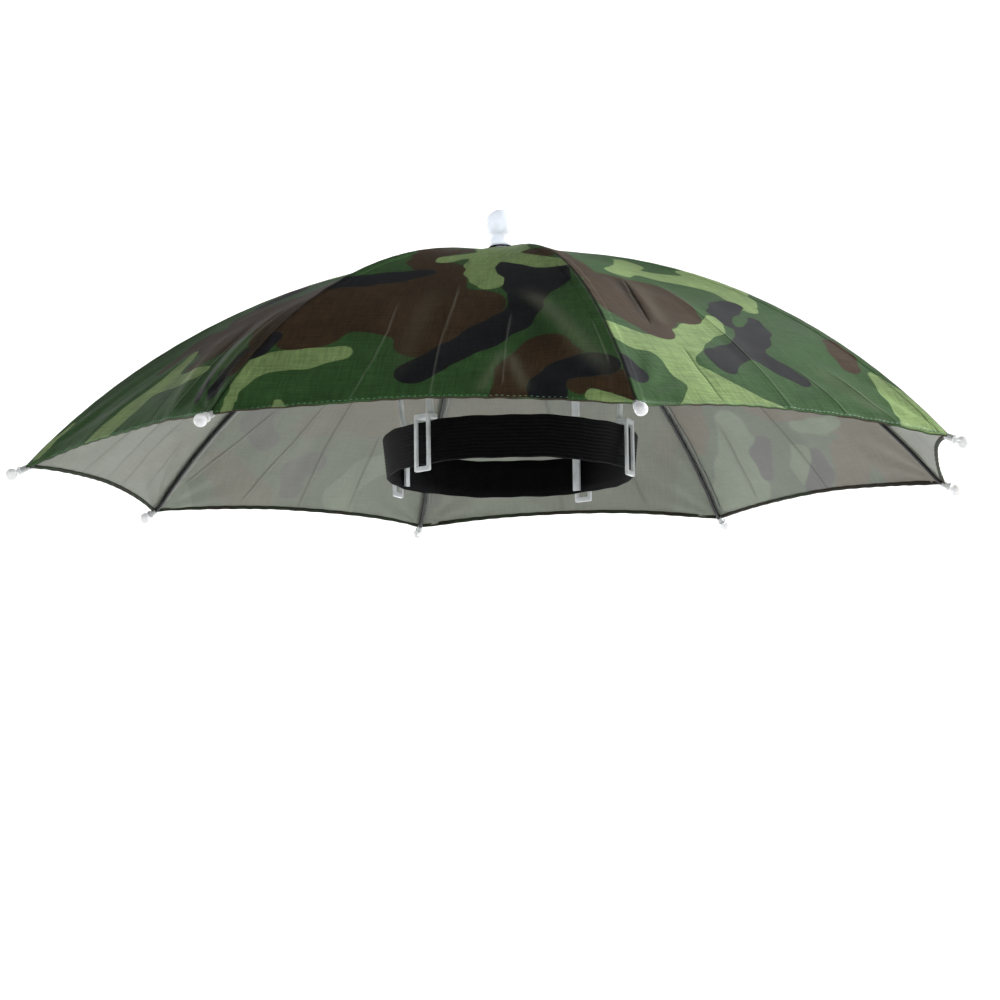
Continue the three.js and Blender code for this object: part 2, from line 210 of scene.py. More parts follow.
class Paint:
    """Material with a few short ways to add nodes."""

    def __init__(self, name, **constants):
        self.material = bpy.data.materials.new(name)
        self.material.use_nodes = True
        self.tree = self.material.node_tree
        self.shader = self.tree.nodes["Principled BSDF"]
        for socket, value in constants.items():
            self.shader.inputs[socket.replace("_", " ")].default_value = value

    def feed(self, socket, value):
        if isinstance(value, bpy.types.NodeSocket):
            self.tree.links.new(value, socket)
        else:
            socket.default_value = value

    def node(self, kind, inputs=(), **settings):
        made = self.tree.nodes.new("ShaderNode" + kind)
        for key, value in settings.items():
            setattr(made, key, value)
        for key, value in dict(inputs).items():
            self.feed(made.inputs[key], value)
        return made

    def attribute(self, name, vector=False):
        return self.node("Attribute", attribute_name=name).outputs["Vector" if vector else "Fac"]

    def math(self, operation, first, second=0.0, clamp=False):
        made = self.node("Math", {0: first, 1: second}, operation=operation)
        made.use_clamp = clamp
        return made.outputs[0]

    def between(self, value, low, high, to_low=0.0, to_high=1.0):
        """Smooth step of a value from low to high."""
        made = self.node("MapRange", {0: value, 1: low, 2: high, 3: to_low, 4: to_high},
                         interpolation_type="SMOOTHSTEP")
        return made.outputs[0]

    def blend(self, share, first, second, mode="MIX"):
        made = self.node("Mix", data_type="RGBA", blend_type=mode)
        self.feed(made.inputs[0], share)
        self.feed(made.inputs[6], first)
        self.feed(made.inputs[7], second)
        return made.outputs[2]

    def noise(self, scale, detail, rough, vector=None, stretch=None):
        """Noise with so many lumps to a unit of the vector, in metres if none is given."""
        if vector is None:
            vector = self.node("TexCoord").outputs["Object"]
        if stretch is not None:
            vector = self.node("Mapping", {"Vector": vector, "Scale": stretch}).outputs[0]
        return self.node("TexNoise", {"Vector": vector, "Scale": scale, "Detail": detail,
                                      "Roughness": rough}).outputs[0]

    def bump(self, height, strength, distance, normal=None):
        made = self.node("Bump", {"Height": height, "Strength": strength, "Distance": distance})
        if normal is not None:
            self.feed(made.inputs["Normal"], normal)
        return made.outputs[0]

    def wear(self, colour, normal, rough=None):
        """Finished material with this colour and normal, and a roughness that varies."""
        self.feed(self.shader.inputs["Base Color"], colour)
        if rough is not None:
            self.feed(self.shader.inputs["Roughness"], rough)
        self.feed(self.shader.inputs["Normal"], normal)
        return self.material


# Canopy surface

def rib_angle(index):
    place = index % PANELS
    return np.radians(-90 + CANOPY_TURN + 45 * (place - 0.5) + RIB_TURN[place])


BEND_RADIUS = RIB_RUN / math.radians(END_SLOPE - START_SLOPE)
START_SINE = math.sin(math.radians(START_SLOPE))
START_COSINE = math.cos(math.radians(START_SLOPE))
CORNER_DROP = BEND_RADIUS * (START_COSINE - math.cos(math.radians(END_SLOPE)))


def slope_at(run):
    return np.radians(START_SLOPE + (END_SLOPE - START_SLOPE) * run / RIB_RUN)


def outward(index):
    return np.array([math.cos(rib_angle(index)), math.sin(rib_angle(index)), 0.0])


def on_rib(index, run, peak=1.0):
    """Cloth's outer face over a rib, at runs from the crown."""
    run = np.asarray(run, float)
    slope = slope_at(run)
    radius = BEND_RADIUS * (np.sin(slope) - START_SINE)
    drop = BEND_RADIUS * (START_COSINE - np.cos(slope))
    lift = RIB_LIFT[index % PANELS] * CORNER_DROP * (run / RIB_RUN) ** 2
    sunk = PEAK_RISE * (peak * ease(run / PEAK_RUN) + 1 - peak)
    angle = rib_angle(index)
    return np.stack([CANOPY_SHIFT + radius * np.cos(angle), radius * np.sin(angle),
                     CROWN_HEIGHT - sunk - drop + lift], -1)


def rib_normal(index, run):
    slope = slope_at(np.asarray(run, float))
    return np.stack([np.sin(slope) * np.cos(rib_angle(index)),
                     np.sin(slope) * np.sin(rib_angle(index)), np.cos(slope)], -1)


def chord(index, run):
    return np.linalg.norm(on_rib(index + 1, run) - on_rib(index, run), axis=-1)


def rim_run(across):
    return RIB_RUN - SCALLOP * 4 * across * (1 - across)


def flat_place(index, across, run):
    """Place on the flat panel: sideways from its middle and down from the crown."""
    return (across - 0.5) * chord(index, run), run


def segment_place(u, v, start, end):
    """Share along a segment, distance from it, and the side that a point lies on."""
    along = np.array(end[:2], float) - np.array(start[:2], float)
    length = max(np.hypot(*along), 1e-6)
    du, dv = u - start[0], v - start[1]
    share = np.clip((du * along[0] + dv * along[1]) / length ** 2, 0, 1)
    distance = np.hypot(du - share * along[0], dv - share * along[1])
    side = np.sign(du * along[1] - dv * along[0])
    return share, distance, side


# Soft folds of the worn canopy, on the flat panel in millimetres:
# panel, two ends as sideways and down, half width and height (a valley has a negative one)
FOLDS = [
    (0, (40, 205), (92, 296), 9.0, 0.9),
    (0, (3, 176), (3, 310), 5.0, 0.5),
    (0, (-30, 205), (-36, 308), 5.0, 0.5),
    (0, (38, 228), (38, 308), 4.0, 0.5),
    (0, (28, 309), (38, 276), 3.5, 0.5),
    (0, (48, 308), (40, 278), 3.5, 0.5),
    (0, (66, 190), (88, 250), 5.0, -0.6),
    (1, (-36, 176), (-54, 240), 4.5, -1.1),
    (1, (-26, 165), (-48, 236), 4.0, 0.7),
    (1, (-3, 160), (-2, 310), 4.5, 0.7),
    (1, (-46, 258), (-47, 308), 4.0, -0.9),
    (1, (28, 276), (40, 310), 4.0, 0.6),
    (1, (44, 262), (74, 308), 5.0, 0.8),
    (1, (-90, 304), (-70, 262), 6.0, 0.6),
    (2, (-60, 300), (-20, 250), 8.0, 0.7),
    (2, (10, 306), (4, 200), 7.0, 0.7),
    (2, (60, 296), (30, 240), 8.0, -0.6),
    (3, (-20, 306), (-12, 190), 7.0, 0.7),
    (3, (52, 300), (24, 200), 8.0, 0.6),
    (3, (-66, 296), (-40, 230), 7.0, -0.6),
    (4, (0, 306), (6, 170), 6.0, 0.7),
    (4, (-58, 300), (-30, 214), 7.0, 0.7),
    (4, (62, 296), (40, 220), 7.0, -0.6),
    (5, (14, 306), (4, 196), 7.0, 0.7),
    (5, (-50, 300), (-28, 220), 7.0, -0.6),
    (5, (70, 296), (46, 230), 7.0, 0.6),
    (6, (-4, 306), (-6, 210), 7.0, 0.7),
    (6, (26, 300), (12, 216), 6.0, -0.6),
    (6, (70, 300), (40, 190), 6.0, 0.9),
    (7, (96, 304), (62, 180), 4.0, 1.3),
    (7, (90, 306), (50, 186), 4.5, -1.4),
    (7, (84, 308), (34, 196), 5.0, 1.4),
    (7, (74, 310), (16, 206), 5.5, -1.3),
    (7, (60, 310), (2, 222), 6.0, 1.1),
    (7, (-50, 306), (-20, 220), 7.0, 0.8),
    (7, (-80, 306), (-44, 226), 6.0, -0.8),
]

# Sharp creases from the imported state: panel, tone of the line painted outside (1 painted highlight, -1
# painted shade) and points
CREASES = [
    (0, 1, [(3, 180), (4, 215), (3, 262), (4, 311)]),
    (0, 1, [(-26, 205), (-26, 245), (-29, 275), (-37, 311)]),
    (0, 1, [(36, 225), (37, 262), (39, 300)]),
    (0, 1, [(78, 240), (90, 284)]),
    (1, -1, [(-28, 170), (-40, 200), (-52, 236)]),
    (1, 1, [(-2, 160), (-3, 220), (-2, 270), (-1, 311)]),
    (1, 1, [(26, 268), (32, 286), (38, 311)]),
    (1, -1, [(-44, 258), (-47, 282), (-47, 308)]),
    (1, 1, [(50, 272), (70, 308)]),
    (2, 1, [(4, 160), (2, 230), (0, 310)]),
    (2, 1, [(-70, 290), (-34, 262), (-12, 244)]),
    (3, 1, [(-10, 150), (-6, 230), (-8, 309)]),
    (3, 1, [(40, 230), (52, 270), (60, 305)]),
    (4, 1, [(2, 168), (0, 240), (3, 309)]),
    (4, 1, [(-34, 220), (-44, 262), (-56, 304)]),
    (5, 1, [(-3, 180), (-2, 250), (-2, 309)]),
    (5, 1, [(14, 205), (24, 250), (42, 302)]),
    (5, 1, [(44, 215), (62, 252), (88, 294)]),
    (5, -1, [(-36, 230), (-40, 304)]),
    (6, 1, [(-6, 190), (-6, 275), (-4, 309)]),
    (6, 1, [(16, 236), (26, 276), (36, 308)]),
    (6, 1, [(-30, 240), (-30, 276), (-32, 309)]),
    (6, 1, [(46, 240), (62, 274), (74, 304)]),
    (6, -1, [(-60, 256), (-72, 304)]),
    (7, 1, [(44, 200), (64, 248), (82, 294)]),
    (7, -1, [(64, 204), (80, 246), (94, 290)]),
    (7, 1, [(22, 214), (42, 260), (58, 304)]),
    (7, -1, [(2, 220), (20, 264), (34, 306)]),
    (7, 1, [(-20, 230), (-34, 270), (-48, 306)]),
]
CREASE_REACH = 5.0

# Broad sheen and shade along folds: panel, half width and strength (negative is shade), points
SHEENS = [
    (0, 5.6, 0.8, [(36, 190), (50, 216), (64, 244), (79, 272), (98, 302)]),
    (0, 6.0, -0.5, [(26, 205), (40, 226), (52, 250), (66, 276)]),
    (0, 6.0, 0.25, [(-8, 180), (-12, 240), (-16, 300)]),
    (0, 3.0, 0.9, [(37, 264), (33, 286), (27, 310)]),
    (0, 3.0, 0.8, [(40, 268), (45, 288), (52, 308)]),
    (1, 5.0, -0.5, [(-28, 160), (-44, 205), (-56, 240)]),
    (1, 5.0, 0.35, [(-16, 165), (-32, 205), (-44, 244)]),
    (1, 6.0, 0.5, [(36, 262), (54, 286), (70, 308)]),
    (1, 5.0, -0.45, [(84, 262), (98, 300)]),
    (7, 6.0, -0.7, [(60, 214), (76, 250), (92, 290)]),
    (7, 5.5, 0.6, [(44, 206), (62, 248), (82, 292)]),
    (7, 6.0, -0.6, [(30, 214), (50, 256), (70, 296)]),
    (7, 6.0, 0.4, [(10, 220), (30, 262), (52, 300)]),
    (7, 6.0, -0.4, [(-8, 224), (10, 266), (34, 302)]),
    (7, 7.0, -0.4, [(-60, 190), (-76, 240), (-90, 284)]),
]


# Wrinkles on every panel: heights and lengths in millimetres
FAN_HEIGHT = 1.0
FAN_RAYS = 15
FAN_REACH = 48
FAN_START = 14
SLOW_HEIGHT = 0.55
SLOW_START = 60
GATHER_HEIGHT = 0.22
GATHER_REACH = 7
CALM_AT_SEAM = 13
PUCKER_HEIGHT = 0.16
PUCKER_PLACE = 3.5
PUCKER_WIDTH = 3.0


def ripple(index, across, run):
    """Height of wrinkles over the smooth cloth."""
    u, v = flat_place(index, across, run)
    from_seam = chord(index, run) / 2 - np.abs(u)
    from_rim = rim_run(across) - run
    height = np.zeros_like(u)
    for panel, start, end, width, rise in FOLDS:
        if panel == index:
            share, distance, _ = segment_place(u, v, start, end)
            fade = np.sin(np.pi * np.clip(share, 0.02, 0.98)) ** 0.5
            height += rise * np.exp(-(distance / width) ** 2) * fade
    for side, phase in ((-1, 0.4 + index), (1, 1.9 + 2 * index)):
        du = np.abs(u - side * chord(index, RIB_RUN) / 2)
        dv = RIB_RUN - run
        reach = np.hypot(du, dv)
        rays = np.sin(FAN_RAYS * np.arctan2(dv, du + 1e-6) + phase)
        height += FAN_HEIGHT * rays * np.exp(-reach / FAN_REACH) * ease(reach / FAN_START)
    slow = np.sin(u / 31 + 1.3 * index) * np.sin(v / 43 + 0.7 * index)
    slow += 0.5 * np.sin(u / 17 - v / 29 + 2.1 * index)
    height += SLOW_HEIGHT * slow * ease(v / SLOW_START)
    gathers = np.sin(u / 2.1 + 2 * np.sin(u / 23 + index))
    height += GATHER_HEIGHT * gathers * np.exp(-np.maximum(from_rim, 0) / GATHER_REACH)
    height *= ease(from_seam / CALM_AT_SEAM)
    pucker = np.sin(v / 2.6 + 1.5 * np.sin(v / 19))
    height += PUCKER_HEIGHT * pucker * np.exp(-((from_seam - PUCKER_PLACE) / PUCKER_WIDTH) ** 2)
    return height


def on_cloth(index, across, run):
    """Cloth's outer face with its wrinkles, and the smooth normal there."""
    a = np.asarray(across)[..., None]
    base = on_rib(index, run) * (1 - a) + on_rib(index + 1, run) * a
    normal = unit(rib_normal(index, run) * (1 - a) + rib_normal(index + 1, run) * a)
    sink = HOLLOW * np.sin(np.pi * np.minimum(run / RIB_RUN, 1)) * 4 * across * (1 - across)
    return base + normal * (ripple(index, across, run) - sink)[..., None], normal


# Camouflage print, charted on the flat panels: each stroke has a colour and
# points of sideways, down and radius in millimetres. Later strokes lie on top.
FRONT = [
    ("brown", [(-12, 70, 9), (-18, 88, 15), (-24, 108, 10), (-22, 130, 10), (-11, 150, 14),
               (-10, 190, 17)]),
    ("brown", [(-66, 194, 14), (-40, 188, 16), (-16, 176, 14)]),
    ("brown", [(-50, 207, 22), (-20, 208, 24), (8, 215, 25)]),
    ("brown", [(-58, 216, 24), (-68, 241, 20)]),
    ("brown", [(-46, 222, 20), (-22, 226, 20), (-2, 230, 24), (-6, 255, 15)]),
    ("black", [(-20, 154, 7), (-36, 164, 9), (-54, 174, 9), (-74, 182, 8)]),
    ("black", [(-86, 246, 5), (-93, 266, 7), (-99, 282, 3)]),
    ("black", [(22, 138, 4), (27, 152, 9), (40, 166, 19), (44, 184, 17), (43, 202, 10), (43, 220, 8),
               (36, 236, 11), (24, 250, 12), (11, 266, 9), (-6, 284, 10)]),
    ("light", [(0, 6, 5), (1, 30, 8), (4, 55, 9), (13, 80, 14), (15, 98, 14), (12, 120, 11),
               (10, 142, 8), (11, 160, 8), (16, 175, 8), (20, 184, 7)]),
    ("light", [(2, 108, 8), (-10, 117, 7), (-12, 126, 6)]),
    ("light", [(20, 118, 14), (34, 134, 10), (46, 148, 8), (56, 153, 6)]),
    ("light", [(-47, 264, 7), (-62, 269, 8), (-78, 270, 9), (-88, 276, 7), (-94, 288, 4),
               (-97, 302, 2), (-98, 312, 3)]),
    ("light", [(-71, 315, 5), (-74, 305, 2)]),
    ("brown", [(34, 111, 7), (46, 128, 5)]),
    ("brown", [(57, 263, 12), (48, 286, 12), (44, 316, 14)]),
    ("brown", [(60, 266, 10), (76, 284, 9), (92, 300, 12), (100, 312, 9)]),
    ("black", [(62, 318, 9), (61, 298, 9), (68, 288, 9), (80, 284, 10), (89, 284, 8)]),
    ("brown", [(76, 300, 6), (84, 305, 5)]),
    ("light", [(83, 308, 4), (92, 312, 4), (102, 315, 3)]),
]
FRONT_RIGHT = [
    ("light", [(18, 98, 4), (13, 114, 8), (-1, 133, 9), (-19, 149, 8)]),
    ("light", [(12, 142, 11), (34, 147, 12), (47, 160, 12), (47, 178, 9), (44, 192, 6)]),
    ("light", [(44, 128, 6), (52, 148, 9), (56, 162, 6)]),
    ("light", [(4, 217, 5), (-8, 229, 7), (-24, 236, 8), (-40, 250, 10), (-57, 264, 13), (-55, 284, 12),
               (-50, 302, 13), (-28, 312, 9), (-12, 316, 4)]),
    ("light", [(-92, 246, 8), (-78, 256, 9), (-60, 262, 10)]),
    ("light", [(-80, 315, 3), (-62, 308, 8), (-40, 304, 10), (-22, 309, 6)]),
    ("light", [(-46, 284, 8), (-32, 298, 9), (-14, 309, 6), (6, 315, 5), (24, 319, 4)]),
    ("light", [(84, 266, 4), (88, 284, 9), (90, 300, 13), (86, 316, 16)]),
    ("light", [(98, 298, 8), (106, 314, 6)]),
    ("brown", [(-36, 170, 8), (-38, 196, 14), (-44, 222, 14)]),
    ("brown", [(-18, 180, 17), (-20, 198, 18), (-22, 210, 17)]),
    ("brown", [(-48, 190, 16), (-56, 206, 20), (-57, 224, 19), (-54, 240, 12)]),
    ("brown", [(-12, 44, 5), (-25, 76, 6), (-36, 106, 7), (-48, 142, 8), (-58, 174, 11)]),
    ("brown", [(75, 232, 5), (74, 245, 8), (72, 257, 7)]),
    ("black", [(35, 187, 7), (25, 196, 8), (14, 207, 6), (10, 222, 4)]),
    ("black", [(37, 210, 4), (30, 223, 6), (17, 236, 9), (5, 248, 9)]),
    ("black", [(2, 252, 7), (-12, 257, 8), (-22, 263, 9), (-25, 272, 7)]),
    ("black", [(6, 257, 8), (16, 270, 7), (23, 279, 6)]),
    ("black", [(-97, 280, 8), (-94, 288, 8)]),
]
RIGHT = [
    ("light", [(2, 14, 5), (-4, 40, 5)]),
    ("light", [(26, 74, 7), (6, 82, 9), (-12, 96, 11), (-26, 118, 12), (-34, 140, 13),
               (-36, 158, 12), (-30, 168, 8)]),
    ("black", [(-17, 151, 6), (0, 148, 8), (25, 143, 9), (56, 135, 8)]),
    ("black", [(-5, 169, 4), (15, 167, 6), (40, 165, 6), (66, 160, 6)]),
    ("light", [(-64, 248, 4), (-38, 248, 2)]),
    ("brown", [(-70, 234, 12), (-40, 234, 11), (-16, 233, 6)]),
    ("brown", [(16, 97, 7), (38, 99, 10)]),
    ("light", [(-90, 300, 10), (-64, 279, 15), (-30, 279, 13), (10, 275, 11), (44, 270, 7), (66, 262, 4)]),
    ("brown", [(30, 215, 14), (52, 206, 13), (70, 214, 9)]),
    ("black", [(14, 300, 8), (36, 292, 10), (56, 298, 8)]),
]
FRONT_LEFT = [
    ("light", [(-14, 66, 6), (-20, 90, 7), (-34, 106, 7)]),
    ("brown", [(14, 60, 7), (24, 90, 11), (34, 124, 16), (38, 156, 22)]),
    ("black", [(-40, 124, 7), (-28, 140, 8), (-34, 158, 8)]),
    ("brown", [(-30, 176, 12), (-10, 180, 18), (20, 188, 26), (56, 190, 18)]),
    ("brown", [(-36, 206, 12), (-12, 206, 22), (20, 216, 24), (18, 246, 15)]),
    ("brown", [(-36, 216, 10), (-40, 240, 5)]),
    ("brown", [(62, 214, 18), (74, 234, 13), (85, 260, 8), (92, 278, 6)]),
    ("light", [(-20, 226, 3), (-15, 242, 7), (-11, 258, 10), (-18, 280, 12), (-26, 300, 13), (-30, 316, 13)]),
    ("light", [(0, 264, 8), (20, 266, 7), (39, 265, 7)]),
    ("light", [(-91, 280, 2), (-97, 294, 4), (-101, 306, 4)]),
    ("black", [(70, 250, 2), (80, 272, 5), (88, 290, 5), (92, 300, 3)]),
    ("black", [(62, 266, 2), (72, 288, 4), (78, 300, 2)]),
]
LEFT = [
    ("light", [(4, 24, 6), (10, 48, 6)]),
    ("black", [(-6, 62, 8), (6, 78, 9), (22, 92, 7)]),
    ("brown", [(-18, 96, 12), (-26, 124, 14), (-24, 146, 12)]),
    ("brown", [(34, 150, 18), (42, 185, 16), (37, 205, 13)]),
    ("light", [(-60, 176, 9), (-44, 190, 9), (-52, 208, 10), (-70, 222, 9)]),
    ("light", [(14, 210, 4), (26, 226, 9), (40, 242, 10), (54, 262, 10), (60, 284, 9)]),
    ("light", [(50, 204, 4), (52, 232, 6)]),
    ("black", [(-16, 196, 8), (-20, 216, 10), (-8, 234, 10), (-12, 250, 8)]),
    ("brown", [(-66, 262, 13), (-46, 280, 15), (-22, 288, 12)]),
    ("black", [(86, 284, 8), (98, 304, 8)]),
]
BACK = [
    ("light", [(0, 8, 5), (-6, 40, 7), (-10, 66, 9), (2, 84, 9)]),
    ("brown", [(20, 84, 9), (26, 110, 12), (10, 128, 12)]),
    ("black", [(-36, 120, 8), (-22, 132, 9), (-14, 150, 9), (-28, 166, 9)]),
    ("light", [(46, 150, 9), (30, 164, 10), (14, 170, 9), (8, 186, 8)]),
    ("brown", [(-50, 196, 18), (-30, 214, 20), (-6, 216, 15), (14, 228, 14)]),
    ("black", [(60, 190, 9), (52, 208, 10), (58, 230, 10), (44, 246, 9)]),
    ("light", [(-84, 250, 9), (-62, 256, 10), (-40, 266, 11), (-28, 288, 11), (-36, 306, 9)]),
    ("brown", [(70, 270, 12), (52, 288, 13), (34, 300, 14)]),
    ("black", [(0, 262, 8), (14, 272, 9), (10, 290, 8)]),
    ("light", [(92, 296, 8), (84, 312, 9)]),
]
BACK_RIGHT = [
    ("light", [(0, 8, 5), (6, 40, 7), (10, 66, 9), (-4, 86, 9)]),
    ("brown", [(-20, 84, 9), (-26, 110, 12), (-8, 128, 12)]),
    ("black", [(36, 120, 8), (22, 132, 9), (14, 150, 9), (28, 166, 9)]),
    ("light", [(-46, 150, 9), (-30, 166, 10), (-14, 172, 9), (-10, 190, 8)]),
    ("brown", [(-84, 300, 22), (-80, 262, 24), (-52, 232, 24), (-16, 222, 20), (8, 206, 14)]),
    ("brown", [(58, 214, 14), (70, 232, 15), (82, 250, 10)]),
    ("brown", [(-46, 282, 16), (-30, 306, 12)]),
    ("light", [(-54, 252, 6), (-38, 253, 7), (-22, 249, 6)]),
    ("light", [(30, 236, 13), (40, 260, 18), (60, 284, 22), (84, 300, 16)]),
    ("light", [(-8, 271, 8), (2, 284, 7), (4, 296, 6)]),
    ("black", [(14, 256, 6), (28, 268, 8), (36, 284, 6)]),
    ("black", [(-20, 274, 5), (-14, 290, 8), (2, 304, 8)]),
]
# Chart of each panel, whether it is turned over sideways, and how much of the print shows through
# inside; that share is partly painted light, set higher on the panels that the lamps light from outside
PRINTS = [(FRONT, 1, 0.3), (FRONT_RIGHT, 1, 0.3), (RIGHT, 1, 0.3), (BACK_RIGHT, 1, 0.7),
          (FRONT_RIGHT, -1, 0.3), (BACK, 1, 0.5), (LEFT, 1, 0.2), (FRONT_LEFT, 1, 0.2)]
PRINT_COLOURS = ("brown", "light", "black")
FAR = 12.0  # distance from its edge at which a colour's field is cut off
PRINT_DROP = 3.0  # print lies this much lower than its chart
MELT = 5.0  # how softly two strokes of one colour run together
WAVE = 0.8  # long waves in the print's edges
WOBBLE = 0.4  # and short ones


def print_fields(strokes, u, v):
    """Signed distance to each colour's edge, negative inside the colour."""
    wavy_u = u + WAVE * np.sin(v / 11 + 1.3) + WOBBLE * np.sin(v / 5.3 + u / 8)
    wavy_v = v - PRINT_DROP + WAVE * np.sin(u / 12 + 0.4) + WOBBLE * np.sin(u / 5.9 - v / 7)
    fields = {colour: np.full(u.shape, FAR) for colour in PRINT_COLOURS}
    for colour, points in strokes:
        for start, end in zip(points, points[1:]):
            share, distance, _ = segment_place(wavy_u, wavy_v, start, end)
            shape = distance - (start[2] + share * (end[2] - start[2]))
            near = np.maximum(MELT - np.abs(fields[colour] - shape), 0) / MELT
            fields[colour] = np.minimum(fields[colour], shape) - near ** 2 * MELT / 4
            for other in PRINT_COLOURS:
                if other != colour:
                    fields[other] = np.maximum(fields[other], -fields[colour])
    return {colour: np.clip(field, -FAR, FAR) for colour, field in fields.items()}


def along_line(u, v, points):
    """For each segment: share along the whole line, distance from it and side."""
    whole = len(points) - 1
    for k, (start, end) in enumerate(zip(points, points[1:])):
        share, distance, side = segment_place(u, v, start, end)
        yield (k + share) / whole, distance, side


def crease_field(index, u, v):
    """Signed distance to the nearest crease, and how strongly it shows."""
    best = np.zeros_like(u)
    weight = np.zeros_like(u)
    for panel, tone, points in CREASES:
        if panel != index:
            continue
        for place, distance, side in along_line(u, v, points):
            fade = ease(place * 5) * ease((1 - place) * 8 + 0.4)
            strength = ease(1 - distance / CREASE_REACH) * fade
            stronger = strength > np.abs(weight)
            best = np.where(stronger, side * distance, best)
            weight = np.where(stronger, tone * strength, weight)
    return best, weight


def sheen_field(index, u, v):
    """Sheen and shade of the broad folds."""
    total = np.zeros_like(u)
    for panel, width, strength, points in SHEENS:
        if panel != index:
            continue
        band = np.zeros_like(u)
        for place, distance, _ in along_line(u, v, points):
            fade = ease(place * 4) * ease((1 - place) * 4)
            band = np.maximum(band, np.exp(-(distance / width) ** 2) * fade)
        total += strength * band
    return total


CANOPY_ROWS = 108
FLAT_SPACING = 400.0  # between the flat panels, so that no two have the same weave
# Share of the run from which a row has so many columns in a panel
COLUMN_BANDS = [(0.0, 9), (0.12, 18), (0.25, 36), (0.5, 72)]


def columns_at(share):
    return [count for start, count in COLUMN_BANDS if share >= start][-1]


def panel_rings(counts):
    """Faces of one panel's net, each a ring of (row, column), where counts are its columns."""
    rings = []
    for r in range(CANOPY_ROWS):
        step = counts[r + 1] // counts[r]
        for k in range(counts[r]):
            near, beside = (r, k), (r, k + 1)
            far = [(r + 1, k * step + j) for j in range(step + 1)]
            if step == 1:
                rings.append([near, far[0], far[1], beside])
            else:
                rings += [[near, far[0], far[1]], [near, far[1], beside], [beside, far[1], far[2]]]
    return rings


def cloth_values(panel, across, run):
    """Print, creases and seams over a panel, by attribute name, and its flat places."""
    chart, hand, backlit_show = PRINTS[panel]
    u, v = flat_place(panel, across, run)
    values = print_fields(chart, u * hand, v)
    values["fold"], values["fold_weight"] = crease_field(panel, u, v)
    values["sheen"] = sheen_field(panel, u, v)
    values["seam"] = chord(panel, run) / 2 - np.abs(u)
    values["backlit_show"] = np.full(run.shape, backlit_show)
    return values, np.stack([u + FLAT_SPACING * panel, v, np.zeros_like(u)], 1)


def canopy_sheet():
    """One sheet of cloth: camouflage outside, silver inside.

    Panels share their points at the seams but keep their own values at the faces' corners.
    """
    shares = np.linspace(CROWN_HOLE / RIB_RUN, 1, CANOPY_ROWS + 1)
    counts = [columns_at(share) for share in shares]
    columns = [np.arange(n + 1) for n in counts]
    across = np.concatenate([column / n for column, n in zip(columns, counts)])
    run = np.concatenate([share * rim_run(column / n)
                          for share, column, n in zip(shares, columns, counts)])
    starts = [0, *np.cumsum([PANELS * n for n in counts]).tolist()]
    corner_starts = [0, *np.cumsum([n + 1 for n in counts]).tolist()]
    total = starts[-1]
    rings = panel_rings(counts)
    outer = np.zeros((total, 3))
    inner = np.zeros((total, 3))
    faces, corners, values, flats = [], [], [], []
    for panel in range(PANELS):
        ids = [start + (panel * n + column) % (PANELS * n)
               for start, column, n in zip(starts, columns, counts)]
        every = np.concatenate(ids)
        points, normals = on_cloth(panel, across, run)
        outer[every] = points
        inner[every] = points - normals * CLOTH
        panel_values, flat = cloth_values(panel, across, run)
        values.append(panel_values)
        flats.append(flat)
        first = panel * corner_starts[-1]
        for ring in rings:
            faces.append([int(ids[r][k]) for r, k in ring])
            corners.append([first + corner_starts[r] + k for r, k in ring])
    outside = len(faces)
    faces += [[total + i for i in reversed(face)] for face in faces]
    corners += [list(reversed(face)) for face in corners]
    inside = len(faces)
    for row, turn in ((0, 1), (CANOPY_ROWS, -1)):
        n = counts[row]
        for k in range(PANELS * n):
            panel, column = divmod(k, n)
            a = starts[row] + k
            b = starts[row] + (k + 1) % (PANELS * n)
            here = corner_starts[-1] * panel + corner_starts[row] + column
            pairs = [(a, here), (b, here + 1), (b + total, here + 1), (a + total, here)]
            faces.append([i for i, _ in pairs[::turn]])
            corners.append([i for _, i in pairs[::turn]])
    sheet = make_mesh("canopy", np.concatenate([outer, inner]), faces)
    mesh = sheet.data
    lookup = np.array([i for face in corners for i in face])
    for name in values[0]:
        layer = mesh.attributes.new(name, "FLOAT", "CORNER")
        field = np.concatenate([panel_values[name] for panel_values in values])
        layer.data.foreach_set("value", field[lookup].astype(np.float32))
    layer = mesh.attributes.new("flat", "FLOAT_VECTOR", "CORNER")
    layer.data.foreach_set("vector", np.concatenate(flats)[lookup].astype(np.float32).ravel())
    looks = np.zeros(len(faces), np.int32)
    looks[outside:inside] = 1
    mesh.polygons.foreach_set("material_index", looks)
    on_seam = np.zeros(2 * total, bool)
    for start, n in zip(starts, counts):
        seam = start + n * np.arange(PANELS)
        on_seam[seam] = True
        on_seam[total + seam] = True
    ends = np.zeros(2 * len(mesh.edges), np.int32)
    mesh.edges.foreach_get("vertices", ends)
    sharp = mesh.attributes.new("sharp_edge", "BOOLEAN", "EDGE")
    sharp.data.foreach_set("value", on_seam[ends.reshape(-1, 2)].all(1))
    return sheet


def cloth_weave(paint, flat, strength):
    """Fine plain weave with slubs, as a bump, and its light and dark threads."""
    warp = paint.noise(0.9, 4.0, 0.7, flat, (0.9, 0.06, 1.0))
    weft = paint.noise(0.9, 4.0, 0.7, flat, (0.06, 0.9, 1.0))
    threads = paint.math("ADD", warp, weft)
    normal = paint.bump(threads, strength, 0.0003)
    return threads, normal


def fold_line(paint, width):
    """Signed share of a thin line that follows the creases."""
    reach = paint.math("ABSOLUTE", paint.attribute("fold"))
    line = paint.between(reach, 0.0, width, 1.0, 0.0)
    return paint.math("MULTIPLY", line, paint.attribute("fold_weight"))


